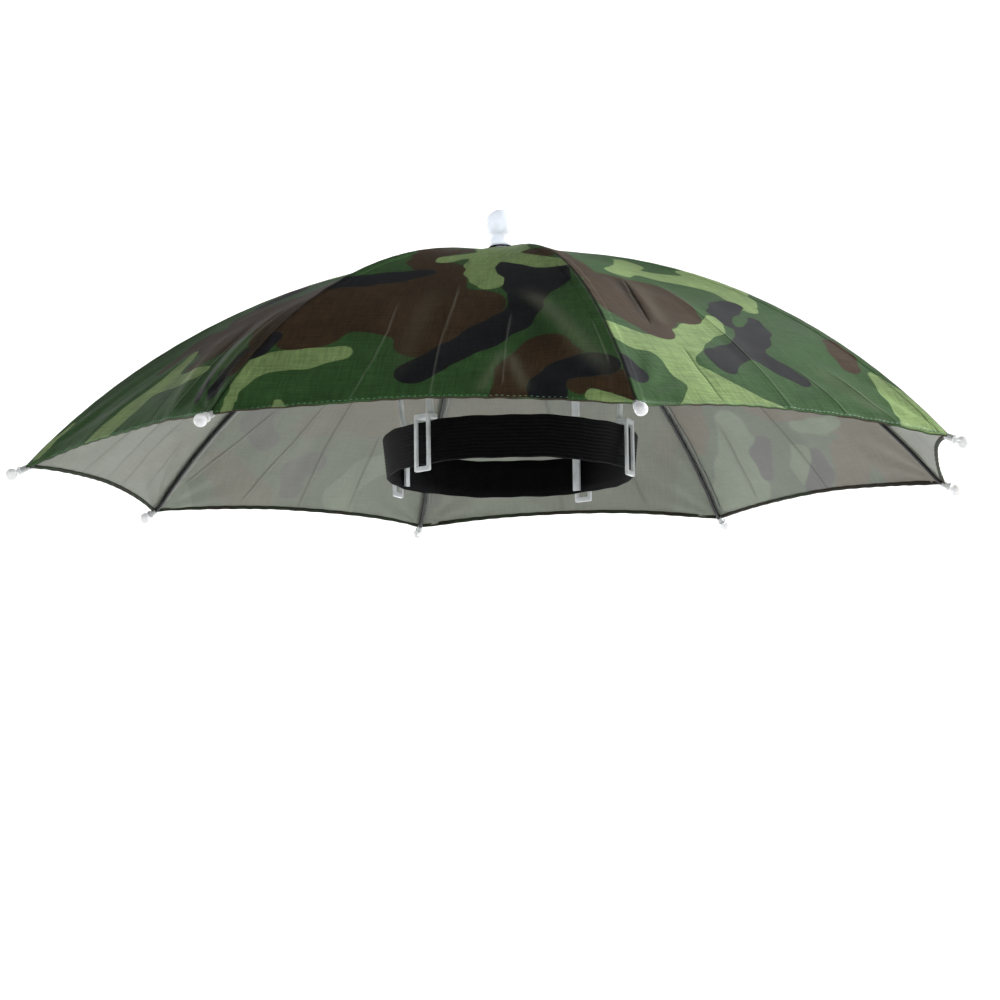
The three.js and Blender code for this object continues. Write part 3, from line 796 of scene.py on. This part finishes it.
# Colour of the cloth and of each printed colour, outside and as it shows through the coating
OUTSIDE = {"ground": "#36532f", "light": "#7c935f", "brown": "#3e3123", "black": "#1f2023"}
INSIDE = {"ground": "#6a7267", "light": "#7b8676", "brown": "#716b61", "black": "#626063"}
EDGE = 0.3  # softness of the print's edges outside
BLUR = 1.4  # and as they show through


def printed_colour(paint, tints, soft):
    """Camouflage colour from the print's fields."""
    colour = srgb(tints["ground"])
    for name in ("light", "brown", "black"):
        share = paint.between(paint.attribute(name), -soft, soft, 1.0, 0.0)
        colour = paint.blend(share, colour, srgb(tints[name]))
    return colour


def toned(paint, colour, tone):
    """Colour made darker or lighter by a number."""
    grey = paint.node("CombineColor", {0: tone, 1: tone, 2: tone}).outputs[0]
    return paint.blend(1.0, colour, grey, "MULTIPLY")


# Painted sheen, highlights and shade over the cloth: field, share of the colour for each unit of it (a
# negative one takes the field's shaded side) and colour. The sheen field paints sheen and shade along the
# broad folds, and the line paints highlights and shade along the creases.
PAINTED_LIGHT_TINTS = [
    ("sheen", 0.24, "#9a9d86"),
    ("sheen", -0.6, "#0b0f0c"),
    ("line", 0.16, "#a8ada0"),
    ("line", -0.55, "#1d2417"),
]


def outer_cloth():
    paint = Paint("camouflage_cloth", Roughness=0.5, Specular_IOR_Level=0.06)
    flat = paint.attribute("flat", vector=True)
    threads, normal = cloth_weave(paint, flat, 0.5)
    mottle = paint.noise(0.03, 4.0, 0.6, flat)
    tone = paint.math("MULTIPLY", paint.between(mottle, 0.3, 0.7, 0.88, 1.12),
                      paint.between(threads, 0.75, 1.25, 0.76, 1.24))
    seam = paint.attribute("seam")
    # Painted shade in the seam's groove: the colour darkens towards the seam
    tone = paint.math("MULTIPLY", tone, paint.between(seam, 0.2, 1.3, 0.25, 1.0))
    colour = toned(paint, printed_colour(paint, OUTSIDE, EDGE), tone)
    # Painted sheen, highlights and shade laid into the colour along the folds and creases
    fields = {"sheen": paint.attribute("sheen"), "line": fold_line(paint, 0.9)}
    for field, share, tint in PAINTED_LIGHT_TINTS:
        cover = paint.math("MULTIPLY", fields[field], share, clamp=True)
        colour = paint.blend(cover, colour, srgb(tint))
    rough = paint.between(mottle, 0.25, 0.75, 0.42, 0.52)
    seam_ridge = paint.math("SUBTRACT", paint.between(seam, 0.0, 1.6), paint.between(seam, 4.6, 6.4))
    normal = paint.bump(seam_ridge, 0.9, 0.0005, normal)
    normal = paint.bump(fold_line(paint, 1.6), 0.7, 0.0005, normal)
    return paint.wear(colour, normal, rough)


def inner_cloth():
    paint = Paint("silver_coating", Roughness=0.5, Metallic=0.1, Sheen_Weight=0.05,
                  Specular_IOR_Level=0.3)
    flat = paint.attribute("flat", vector=True)
    threads, normal = cloth_weave(paint, flat, 0.3)
    # The print shows through by the panel's share, painted stronger where light comes through from outside
    colour = paint.blend(paint.attribute("backlit_show"), srgb("#777a70"), printed_colour(paint, INSIDE, BLUR))
    mottle = paint.noise(0.02, 4.0, 0.6, flat)
    tone = paint.math("MULTIPLY", paint.between(mottle, 0.3, 0.7, 0.93, 1.06),
                      paint.between(threads, 0.7, 1.3, 0.92, 1.08))
    # Painted shade along the seams inside
    tone = paint.math("MULTIPLY", tone, paint.between(paint.attribute("seam"), 0.0, 0.8, 0.6, 1.0))
    colour = toned(paint, colour, tone)
    # Painted shade along the creases inside
    shade = paint.math("MULTIPLY", paint.math("ABSOLUTE", fold_line(paint, 3.4)), 0.42)
    colour = paint.blend(shade, colour, srgb("#55574f"))
    normal = paint.bump(fold_line(paint, 1.8), 0.8, 0.0005, normal)
    return paint.wear(colour, normal, paint.between(mottle, 0.25, 0.75, 0.44, 0.58))


def hem_material(name, green, brown):
    """Printed cloth turned in at the rim."""
    paint = Paint(name, Roughness=0.7, Specular_IOR_Level=0.1)
    patch = paint.noise(22.0, 2.0, 0.5)
    printed = paint.blend(paint.between(patch, 0.46, 0.54), srgb(green), srgb(brown))
    slub = paint.noise(900.0, 3.0, 0.6)
    colour = paint.blend(paint.math("MULTIPLY", slub, 0.3), printed, srgb("#3a4434"))
    return paint.wear(colour, paint.bump(slub, 0.4, 0.0002))


# Fibrous materials: two colours, the noise's scale, detail and roughness, and the bump's
# strength and depth in metres
FIBRES = {
    "pale_thread": ("#457a5c", "#6d9f82", (2500.0, 2.0, 0.6), (0.4, 0.0001)),
    "dark_thread": ("#33352f", "#55584f", (2500.0, 2.0, 0.6), (0.4, 0.0001)),
    "allowance_cloth": ("#70736d", "#61645d", (700.0, 3.0, 0.6), (0.3, 0.0002)),
    "washer_felt": ("#1b191e", "#2a282d", (900.0, 4.0, 0.7), (0.4, 0.0003)),
}


def fibrous(name, **constants):
    low, high, (scale, detail, rough), relief = FIBRES[name]
    paint = Paint(name, **constants)
    fuzz = paint.noise(scale, detail, rough)
    return paint.wear(paint.blend(fuzz, srgb(low), srgb(high)), paint.bump(fuzz, *relief))


def rim_line(index, shares, inset):
    """Points and normals along a panel's rim, an inset in from its edge."""
    run = rim_run(shares) - inset
    return on_cloth(index, shares, run)


def turned_hem():
    """Strip of cloth turned in along the rim and sewn down inside."""
    sections = []
    for panel in range(PANELS):
        shares = np.arange(HEM_STEPS) / HEM_STEPS
        edge, normals = rim_line(panel, shares, 0.0)
        middle, _ = rim_line(panel, shares, HEM_WIDTH / 2)
        inner, _ = rim_line(panel, shares, HEM_WIDTH)
        outs = unit(edge - inner)
        for e, m, i, normal, out in zip(edge, middle, inner, normals, outs):
            sections.append(np.array([
                e + out * HEM_ROLL / 3 - normal * CLOTH * 0.3,
                e + out * HEM_ROLL / 2 - normal * CLOTH,
                e + out * HEM_ROLL / 3 - normal * (CLOTH + HEM_ROLL * 0.7),
                e - out * HEM_ROLL / 3 - normal * (CLOTH + HEM_ROLL),
                m - normal * (CLOTH + HEM_ROLL * 0.6),
                i - normal * (CLOTH + HEM_ROLL * 0.5),
                i - normal * (CLOTH + 0.05),
                m - normal * (CLOTH + 0.05),
                e - normal * CLOTH * 0.7,
            ]))
    hem = make_mesh("rim_hem", *loft(sections, closed=True))
    round_the_edge = (0, len(sections[0]) - 1)
    # The faces round the edge take the second material, painted lighter as lit cloth
    looks = [int(k % len(sections[0]) in round_the_edge) for k in range(len(hem.data.polygons))]
    hem.data.polygons.foreach_set("material_index", looks)
    return hem


# Swell of a stitch: share of its length from its middle and share of its radius
STITCH_SWELL = [(-0.5, 0.35), (-0.36, 0.9), (0.0, 1.0), (0.36, 0.9), (0.5, 0.35)]
STITCH_SIDES = 5
STITCH_PITCH = 2.9
STITCH_INSET = 1.0  # from the rim
# Length and radius of the stitches and their lift over the cloth
HEM_STITCH = (2.3, 0.22, 0.05)
SEAM_STITCH = (2.1, 0.2, 0.08)


def stitch_run(points, normals, length, radius, lift):
    """Points and faces of thread stitches laid along a line, half sunk in the cloth."""
    gaps = np.linalg.norm(np.diff(points, axis=0), axis=1)
    along = np.concatenate([[0], np.cumsum(gaps)])

    def at(place, rows):
        return np.array([np.interp(place, along, rows[:, c]) for c in range(3)])

    stitches = []
    for start in np.arange(STITCH_PITCH / 2, along[-1] - STITCH_PITCH / 2, STITCH_PITCH):
        sections = []
        for share, size in STITCH_SWELL:
            place = start + share * length
            centre = at(place, points)
            normal = unit(at(place, normals))
            tangent = unit(at(place + 0.5, points) - centre)
            side = unit(np.cross(tangent, normal))
            bow = lift - 2.2 * radius * (2 * share) ** 2
            ring = []
            for k in range(STITCH_SIDES):
                angle = 2 * math.pi * k / STITCH_SIDES
                ring.append(centre + normal * (bow + radius * size * math.sin(angle))
                            + side * radius * size * math.cos(angle))
            sections.append(np.array(ring))
        stitches.append(loft(sections))
    return join(stitches)


def hem_stitches():
    runs = []
    shares = np.linspace(0.01, 0.99, 160)
    for panel in range(PANELS):
        points, normals = rim_line(panel, shares, STITCH_INSET)
        runs.append(stitch_run(points, normals, *HEM_STITCH))
    return make_mesh("hem_stitches", *join(runs))


ALLOWANCE_WIDTH = 5.0
ALLOWANCE_START = 20.0
ALLOWANCE_END = 308.0
ALLOWANCE_INSET = 0.4  # from the seam
ALLOWANCE_FOLD = 0.55  # share of the width at which the strip is sewn
ALLOWANCE_TOP = 0.6  # depth of its free face there
# Section of the strip: share of its width, depth below the cloth, and how wavy that depth is
ALLOWANCE_SECTION = [
    (0.0, 0.05, 0.0),
    (ALLOWANCE_FOLD, 0.1, 0.0),
    (1.0, 0.15, 0.0),
    (1.0, 0.65, 0.0),
    (ALLOWANCE_FOLD, ALLOWANCE_TOP, 0.1),
    (0.0, 0.45, 0.0),
]


def allowance_line(index, inset, runs, below):
    """Line beside a seam on the cloth's inner side, on the panel before it."""
    panel = (index - 1) % PANELS
    across = 1 - inset / chord(panel, runs)
    points, normals = on_cloth(panel, across, runs)
    depth = np.broadcast_to(CLOTH + below, runs.shape)[:, None]
    return points - normals * depth, -normals


def seam_allowance(index):
    """Folded strip of cloth beside a seam, inside the canopy."""
    runs = np.linspace(ALLOWANCE_START, ALLOWANCE_END, 110)
    wave = 0.25 * np.sin(runs / 7.0 + index) + 0.2 * np.sin(runs / 3.1)
    edges = []
    for share, depth, wavy in ALLOWANCE_SECTION:
        inset = np.maximum(share * (ALLOWANCE_WIDTH + wave), ALLOWANCE_INSET)
        edges.append(allowance_line(index, inset, runs, depth + wavy * wave)[0])
    sections = [np.array(section) for section in zip(*edges)]
    return make_mesh(f"seam_allowance_{index + 1}", *loft(sections))


def seam_stitches():
    runs = []
    places = np.linspace(ALLOWANCE_START + 4, ALLOWANCE_END - 2, 200)
    for index in range(PANELS):
        points, normals = allowance_line(index, ALLOWANCE_WIDTH * ALLOWANCE_FOLD, places, ALLOWANCE_TOP)
        runs.append(stitch_run(points, normals, *SEAM_STITCH))
    return make_mesh("seam_stitches", *join(runs))


# Ribs

def ball_centre(index):
    corner = on_rib(index, RIB_RUN)
    return corner + outward(index) * TIP_OUT - np.array([0, 0, TIP_DOWN])


def tip_direction(index):
    level = math.radians(TIP_SLOPE)
    return outward(index) * math.cos(level) - np.array([0, 0, math.sin(level)])


def rib_tube(index):
    """Painted bar from the hub into its tip's sleeve, with a flattened end."""
    bend = RIB_RUN - TIP_LENGTH + TIP_OUT - 3 * RIB_RADIUS
    runs = np.linspace(RIB_START, bend, RIB_STEPS)
    line = on_rib(index, runs, peak=0.0) - rib_normal(index, runs) * RIB_DEPTH
    direction = tip_direction(index)
    ball = ball_centre(index)
    ends = [ball - direction * (TIP_LENGTH + RIB_RADIUS), ball - direction * (TIP_LENGTH - SLEEVE_DEPTH)]
    line = np.concatenate([line, ends])
    tangents = unit(np.gradient(line, axis=0))
    level = np.cross([0, 0, 1], outward(index))
    sections = []
    for point, tangent in zip(line, tangents):
        up = np.cross(tangent, level)
        ring = []
        for k in range(RIB_SIDES):
            angle = 2 * math.pi * k / RIB_SIDES
            ring.append(point + RIB_RADIUS * (level * math.cos(angle) + up * math.sin(angle)))
        sections.append(np.array(ring))
    return make_mesh(f"rib_bar_{index + 1}", *loft(sections))


def rib_material():
    paint = Paint("rib_paint", Metallic=0.35, Roughness=0.35, Specular_IOR_Level=0.6, Coat_Weight=0.2,
                  Coat_Roughness=0.25)
    orange_peel = paint.noise(900.0, 3.0, 0.6)
    worn = paint.noise(120.0, 5.0, 0.7)
    chips = paint.math("MULTIPLY", paint.between(worn, 0.66, 0.72), 0.25)
    return paint.wear(paint.blend(chips, srgb("#17171a"), srgb("#6c6a66")),
                      paint.bump(orange_peel, 0.15, 0.0002), paint.between(worn, 0.3, 0.7, 0.3, 0.48))


# Tips

def tip_cap(index):
    """Moulded tip: ball, neck, collar and sleeve, turned about the rib's end."""
    neck_angle = math.acos(NECK_RADIUS / BALL_RADIUS)
    neck_top = BALL_RADIUS * math.sin(neck_angle) + NECK_LENGTH
    collar_top = neck_top + COLLAR_WIDTH
    ease_in = 0.3
    profile = [(POLE, -BALL_RADIUS)]
    for angle in np.linspace(-math.pi / 2 + 0.12, neck_angle - 0.05, 18):
        profile.append((BALL_RADIUS * math.cos(angle), BALL_RADIUS * math.sin(angle)))
    profile += [
        (NECK_RADIUS, neck_top - 0.5),
        (NECK_RADIUS + 0.1, neck_top - 0.15),
        (COLLAR_RADIUS - ease_in, neck_top),
        (COLLAR_RADIUS, neck_top + ease_in),
        (COLLAR_RADIUS, collar_top - ease_in),
        (COLLAR_RADIUS - ease_in, collar_top),
        (SLEEVE_RADIUS + 0.15, collar_top),
        (SLEEVE_RADIUS, collar_top + 0.3),
        (SLEEVE_RADIUS - 0.05, TIP_LENGTH - 0.2),
        (SLEEVE_RADIUS - 0.2, TIP_LENGTH),
        (RIB_RADIUS + 0.2, TIP_LENGTH),
        (RIB_RADIUS + 0.2, TIP_LENGTH - SLEEVE_DEPTH - 0.3),
        (POLE, TIP_LENGTH - SLEEVE_DEPTH - 0.3),
    ]
    points, faces = lathe(profile, 40)
    turned = points @ frame_to(-tip_direction(index)).T + ball_centre(index)
    thing = make_mesh(f"tip_cap_{index + 1}", turned, faces)
    heights = points[:, 2]
    looks = [int(min(heights[i] for i in face) > collar_top - 0.05) for face in faces]
    thing.data.polygons.foreach_set("material_index", looks)
    return thing


def moulded(name, low, high, subsurface, rough=0.25, scatter=(1.0, 0.9, 0.8), clear=0.0,
             glow=0.0):
    """Glossy translucent moulding with faint flow marks."""
    paint = Paint(name, Subsurface_Weight=subsurface, Subsurface_Scale=0.002, Coat_Weight=0.25,
                  Coat_Roughness=0.12, Specular_IOR_Level=0.5, Transmission_Weight=clear, IOR=1.35)
    # A glow above zero is painted light: the moulding emits light in its high colour
    paint.shader.inputs["Emission Color"].default_value = srgb(high)
    paint.shader.inputs["Emission Strength"].default_value = glow
    paint.shader.inputs["Subsurface Radius"].default_value = scatter
    flow = paint.noise(90.0, 3.0, 0.55)
    fine = paint.noise(1400.0, 2.0, 0.5)
    return paint.wear(paint.blend(paint.between(flow, 0.3, 0.7), srgb(low), srgb(high)),
                      paint.bump(fine, 0.08, 0.0002),
                      paint.between(flow, 0.3, 0.7, rough, rough + 0.12))


# Finial

def finial_knob():
    low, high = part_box("finial")
    foot = high.z / MM - FINIAL_HEIGHT
    stem = low.z / MM
    bulb = foot + FINIAL_HEIGHT - BULB_RADIUS
    waist = foot + WAIST_HEIGHT
    start = -math.acos(WAIST_RADIUS / BULB_RADIUS)
    stretch = (bulb - waist) / (BULB_RADIUS * math.sin(-start))
    skirt = foot - SKIRT_DROP
    profile = [(POLE, stem), (STEM_RADIUS, stem), (STEM_RADIUS, foot), (SKIRT_BORE, foot),
               (SKIRT_BORE + 0.2, skirt), (FOOT_RADIUS - 0.4, skirt), (FOOT_RADIUS, skirt + 0.4),
               (FOOT_RADIUS, foot + 0.9), (FOOT_RADIUS - 0.3, foot + 1.3)]
    for share in np.linspace(0.2, 1, 6):
        profile.append((FOOT_RADIUS - 0.3 - (FOOT_RADIUS - 0.3 - WAIST_RADIUS) * ease(share),
                        foot + 1.3 + (WAIST_HEIGHT - 1.3) * share))
    for angle in np.linspace(start, math.pi / 2 - 0.03, 26)[1:]:
        rise = BULB_RADIUS * math.sin(angle)
        profile.append((BULB_RADIUS * math.cos(angle), bulb + (rise * stretch if angle < 0 else rise)))
    profile.append((POLE, foot + FINIAL_HEIGHT))
    points, faces = lathe(profile, 64)
    points = points + np.array([CANOPY_SHIFT, 0, 0])
    return make_mesh("finial_knob", points, faces)


def felt_washer():
    """Felt ring under the finial, pressed down onto the cloth at its rim."""
    low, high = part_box("crown_washer")
    bottom, top = low.z / MM, high.z / MM
    radius = (high.x - low.x) / MM / 2
    drooped = on_rib(0, radius)[2] + WASHER_SEAT
    profile = [(WASHER_BORE, bottom), (radius - 0.6, drooped + 0.1), (radius - 0.1, drooped),
               (radius, drooped + 0.4), (radius - 0.3, drooped + 0.8), (FOOT_RADIUS, drooped + 1.2),
               (SKIRT_BORE, drooped + 1.3), (SKIRT_BORE - 0.3, top), (WASHER_BORE, top)]
    points, faces = lathe(profile, 72, bored=True)
    return make_mesh("felt_washer", points + np.array([CANOPY_SHIFT, 0, 0]), faces)


# Rounded copies of hard pieces

BEVEL_STEPS = 3
BEVEL_FROM = 35  # degrees between two faces
SHARP_FROM = 40


def rounded_copy(node, name, width):
    """Copy of a CAD node with its flat faces joined and its edges rounded."""
    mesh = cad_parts[node].data.copy()
    mesh.name = name
    mesh.materials.clear()
    thing = bpy.data.objects.new(name, mesh)
    bpy.context.scene.collection.objects.link(thing)
    body = bmesh.new()
    body.from_mesh(mesh)
    bmesh.ops.remove_doubles(body, verts=body.verts, dist=1e-6)
    bmesh.ops.dissolve_limit(body, angle_limit=math.radians(1.5), verts=body.verts, edges=body.edges)
    body.to_mesh(mesh)
    body.free()
    bevel = thing.modifiers.new("edges", "BEVEL")
    bevel.width = width * MM
    bevel.segments = BEVEL_STEPS
    bevel.limit_method = "ANGLE"
    bevel.angle_limit = math.radians(BEVEL_FROM)
    bevel.use_clamp_overlap = True
    bpy.context.view_layer.update()
    depsgraph = bpy.context.evaluated_depsgraph_get()
    final = bpy.data.meshes.new_from_object(thing.evaluated_get(depsgraph))
    thing.modifiers.clear()
    thing.data = final
    final.name = name
    final.polygons.foreach_set("use_smooth", [True] * len(final.polygons))
    final.set_sharp_from_angle(angle=math.radians(SHARP_FROM))
    return thing


# Headband

def band_loop():
    """Woven elastic with lengthwise ribs, stretched round the head."""
    half = BAND_HEIGHT / 2
    heights = np.linspace(half, -half, BAND_RIBS * 4 + 1)
    section = [(BAND_RELIEF * (0.5 - 0.5 * math.cos(2 * math.pi * (k / 4))), height)
               for k, height in enumerate(heights)]
    section[0] = (-BAND_ROUNDING, half)
    section[-1] = (-BAND_ROUNDING, -half)
    back = BAND_BACK - BAND_THICKNESS
    section += [(BAND_ROUNDING - BAND_THICKNESS, -half), (back, -half * 0.5), (back, 0),
                (back, half * 0.5), (BAND_ROUNDING - BAND_THICKNESS, half)]
    wide, deep = HEAD_WIDTH / 2, HEAD_DEPTH / 2
    sections = []
    for k in range(BAND_STEPS):
        angle = 2 * math.pi * k / BAND_STEPS
        point = np.array([wide * math.cos(angle), deep * math.sin(angle), 0])
        normal = unit(np.array([point[0] / wide ** 2, point[1] / deep ** 2, 0]))
        wave = 0.25 * math.sin(9 * angle + 0.6) + 0.15 * math.sin(23 * angle)
        ring = []
        for depth, height in section:
            lean = BAND_LEAN * (0.5 - height / BAND_HEIGHT)
            tight = 1 - lean / wide
            ring.append(point * tight + normal * (depth - BAND_RELIEF) + np.array([0, 0, height + wave]))
        sections.append(np.array(ring))
    return make_mesh("elastic_band", *loft(sections[::-1], closed=True))


def band_material():
    paint = Paint("ribbed_elastic", Roughness=0.85, Specular_IOR_Level=0.08)
    place = paint.node("TexCoord").outputs["Object"]
    loops = paint.noise(500.0, 3.0, 0.65, place, (1.6, 1.6, 3.0))
    fibres = paint.noise(2200.0, 2.0, 0.6, place, (1.0, 1.0, 0.5))
    fuzz = paint.math("ADD", loops, paint.math("MULTIPLY", fibres, 0.5))
    colour = paint.blend(paint.between(fuzz, 0.55, 0.95), srgb("#030304"), srgb("#0c0c0e"))
    return paint.wear(colour, paint.bump(fuzz, 0.5, 0.0003))


# Stage, lights and camera

FLOOR_HEIGHT = -1.2
FLOOR_RADIUS = 2.2
SWEEP_RADIUS = 1.0
WALL_TOP = 1.5


def stage_floor():
    """Pale round floor that sweeps up into a low wall, in metres."""
    profile = [(0.01, FLOOR_HEIGHT), (1.0, FLOOR_HEIGHT), (FLOOR_RADIUS, FLOOR_HEIGHT)]
    for angle in np.linspace(0, math.pi / 2, 16)[1:]:
        profile.append((FLOOR_RADIUS + SWEEP_RADIUS * math.sin(angle),
                        FLOOR_HEIGHT + SWEEP_RADIUS * (1 - math.cos(angle))))
    profile.append((FLOOR_RADIUS + SWEEP_RADIUS, WALL_TOP))
    points, faces = lathe(profile, 96)
    floor = make_mesh("studio_floor", points / MM, faces[:-1])
    paint = Paint("studio_paper", Roughness=0.9, Specular_IOR_Level=0.1)
    fibre = paint.noise(60.0, 3.0, 0.6)
    shades = [(grey, grey, grey, 1.0) for grey in (0.92, 0.94)]
    paint.feed(paint.shader.inputs["Base Color"], paint.blend(fibre, *shades))
    floor.data.materials.append(paint.material)


# Lights: name, place and aim in metres, width and height, watts, and spread in degrees
LIGHTS = [
    ("key", (2.2, 0.55, 0.75), (0, 0, 0), (1.0, 1.0), 104, 180),
    ("back_right", (0.9, 1.1, 1.7), (0, 0, 0), (0.8, 0.8), 6.5, 180),
    ("front_fill", (-0.3, -2.0, 0.7), (0, 0, 0), (1.2, 1.2), 3, 180),
    ("left_low", (-1.6, 1.1, -0.45), (0, 0, 0), (0.8, 0.6), 18, 180),
    ("right_low", (1.6, 1.1, -0.5), (0, 0, 0), (0.8, 0.6), 12.5, 180),
    ("backdrop_wash", (0, 1.5, 2.3), (0, 3.2, 0.4), (3.0, 0.5), 16, 90),
    ("floor_wash", (0, 1.7, 1.5), (0, 3.0, -0.7), (2.4, 0.4), 5, 80),
]
WORLD_LIGHT = 0.1


def area_light(name, place, aim, size, power, spread):
    lamp = bpy.data.lights.new(name, "AREA")
    lamp.shape = "RECTANGLE"
    lamp.size, lamp.size_y = size
    lamp.energy = power
    lamp.spread = math.radians(spread)
    thing = bpy.data.objects.new(name, lamp)
    thing.visible_camera = False
    bpy.context.scene.collection.objects.link(thing)
    thing.location = place
    thing.rotation_euler = (Vector(aim) - Vector(place)).to_track_quat("-Z", "Y").to_euler()


def lights():
    world = bpy.data.worlds.new("studio")
    world.use_nodes = True
    background = world.node_tree.nodes["Background"]
    background.inputs["Color"].default_value = (1.0, 1.0, 1.0, 1.0)
    background.inputs["Strength"].default_value = WORLD_LIGHT
    bpy.context.scene.world = world
    for row in LIGHTS:
        area_light(*row)


def camera():
    data = bpy.data.cameras.new("camera")
    data.sensor_width = SENSOR
    data.lens = SENSOR * FOCAL_PIXELS / PHOTO_PIXELS
    thing = bpy.data.objects.new("camera", data)
    bpy.context.scene.collection.objects.link(thing)
    turn = Matrix.Rotation(math.radians(ROLL), 4, "Y") @ Matrix.Rotation(math.radians(90 + LOOK_UP), 4, "X")
    thing.matrix_world = Matrix.Translation(Vector(EYE)) @ turn
    bpy.context.scene.camera = thing


# Assembly

def film():
    """Plain photographic contrast, with the paper white."""
    bpy.context.scene.view_settings.view_transform = "Standard"


def build():
    film()
    camera()
    lights()
    stage_floor()

    canopy = dress(canopy_sheet(), "canopy_cloth", outer_cloth(), inner_cloth())
    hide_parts(*[f"gore_{i}" for i in range(1, PANELS + 1)])
    # The hem's inner face is painted darker as shade, and its rounded edge lighter as lit cloth
    hem = dress(turned_hem(), "canopy_cloth", hem_material("hem_inside_shaded", "#20291c", "#241d18"),
                hem_material("hem_edge_lit", "#4c6a40", "#4d4435"))
    thread = {"Roughness": 0.6, "Sheen_Weight": 0.1, "Sheen_Roughness": 0.4}
    stitches = dress(hem_stitches(), "canopy_cloth", fibrous("pale_thread", **thread))
    inner_stitches = dress(seam_stitches(), "canopy_cloth", fibrous("dark_thread", **thread))
    strip_cloth = fibrous("allowance_cloth", Roughness=0.6, Sheen_Weight=0.15)
    strips = [dress(seam_allowance(i), "canopy_cloth", strip_cloth) for i in range(PANELS)]

    paint = rib_material()
    ball = moulded("tip_plastic", "#f0f2f3", "#fbfcfc", 0.35, clear=0.35)
    sleeve = moulded("sleeve_plastic", "#a3a7a6", "#bfc3c2", 0.2, 0.35)
    for i in range(PANELS):
        bar = dress(rib_tube(i), "rib_steel", paint)
        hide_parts(f"rib_{i + 1}")
        cap = dress(tip_cap(i), "tip_plastic", ball, sleeve)
        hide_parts(f"tip_{i + 1}")

    leg_plastic = moulded("leg_plastic", "#b9bec0", "#d3d8da", 0.25, 0.28)
    for i in range(1, PANELS // 2 + 1):
        leg = dress(rounded_copy(f"leg_{i}", f"moulded_leg_{i}", 0.35), "leg_plastic", leg_plastic)
        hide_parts(f"leg_{i}")
    hub = dress(rounded_copy("hub", "moulded_hub", 0.4), "leg_plastic", leg_plastic)
    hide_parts("hub")
    felt = fibrous("washer_felt", Roughness=0.95, Specular_IOR_Level=0.1)
    washer = dress(felt_washer(), "washer_cloth", felt)
    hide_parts("crown_washer")
    # The finial's glow is painted light that keeps it bright white on its shaded side
    knob_plastic = moulded("knob_plastic", "#e9effa", "#f4f7fd", 0.5, 0.2, (0.8, 0.9, 1.0), 0.3,
                            0.22)
    knob = dress(finial_knob(), "finial_plastic", knob_plastic)
    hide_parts("finial")

    band = dress(band_loop(), "elastic", band_material())
    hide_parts("headband")


build()
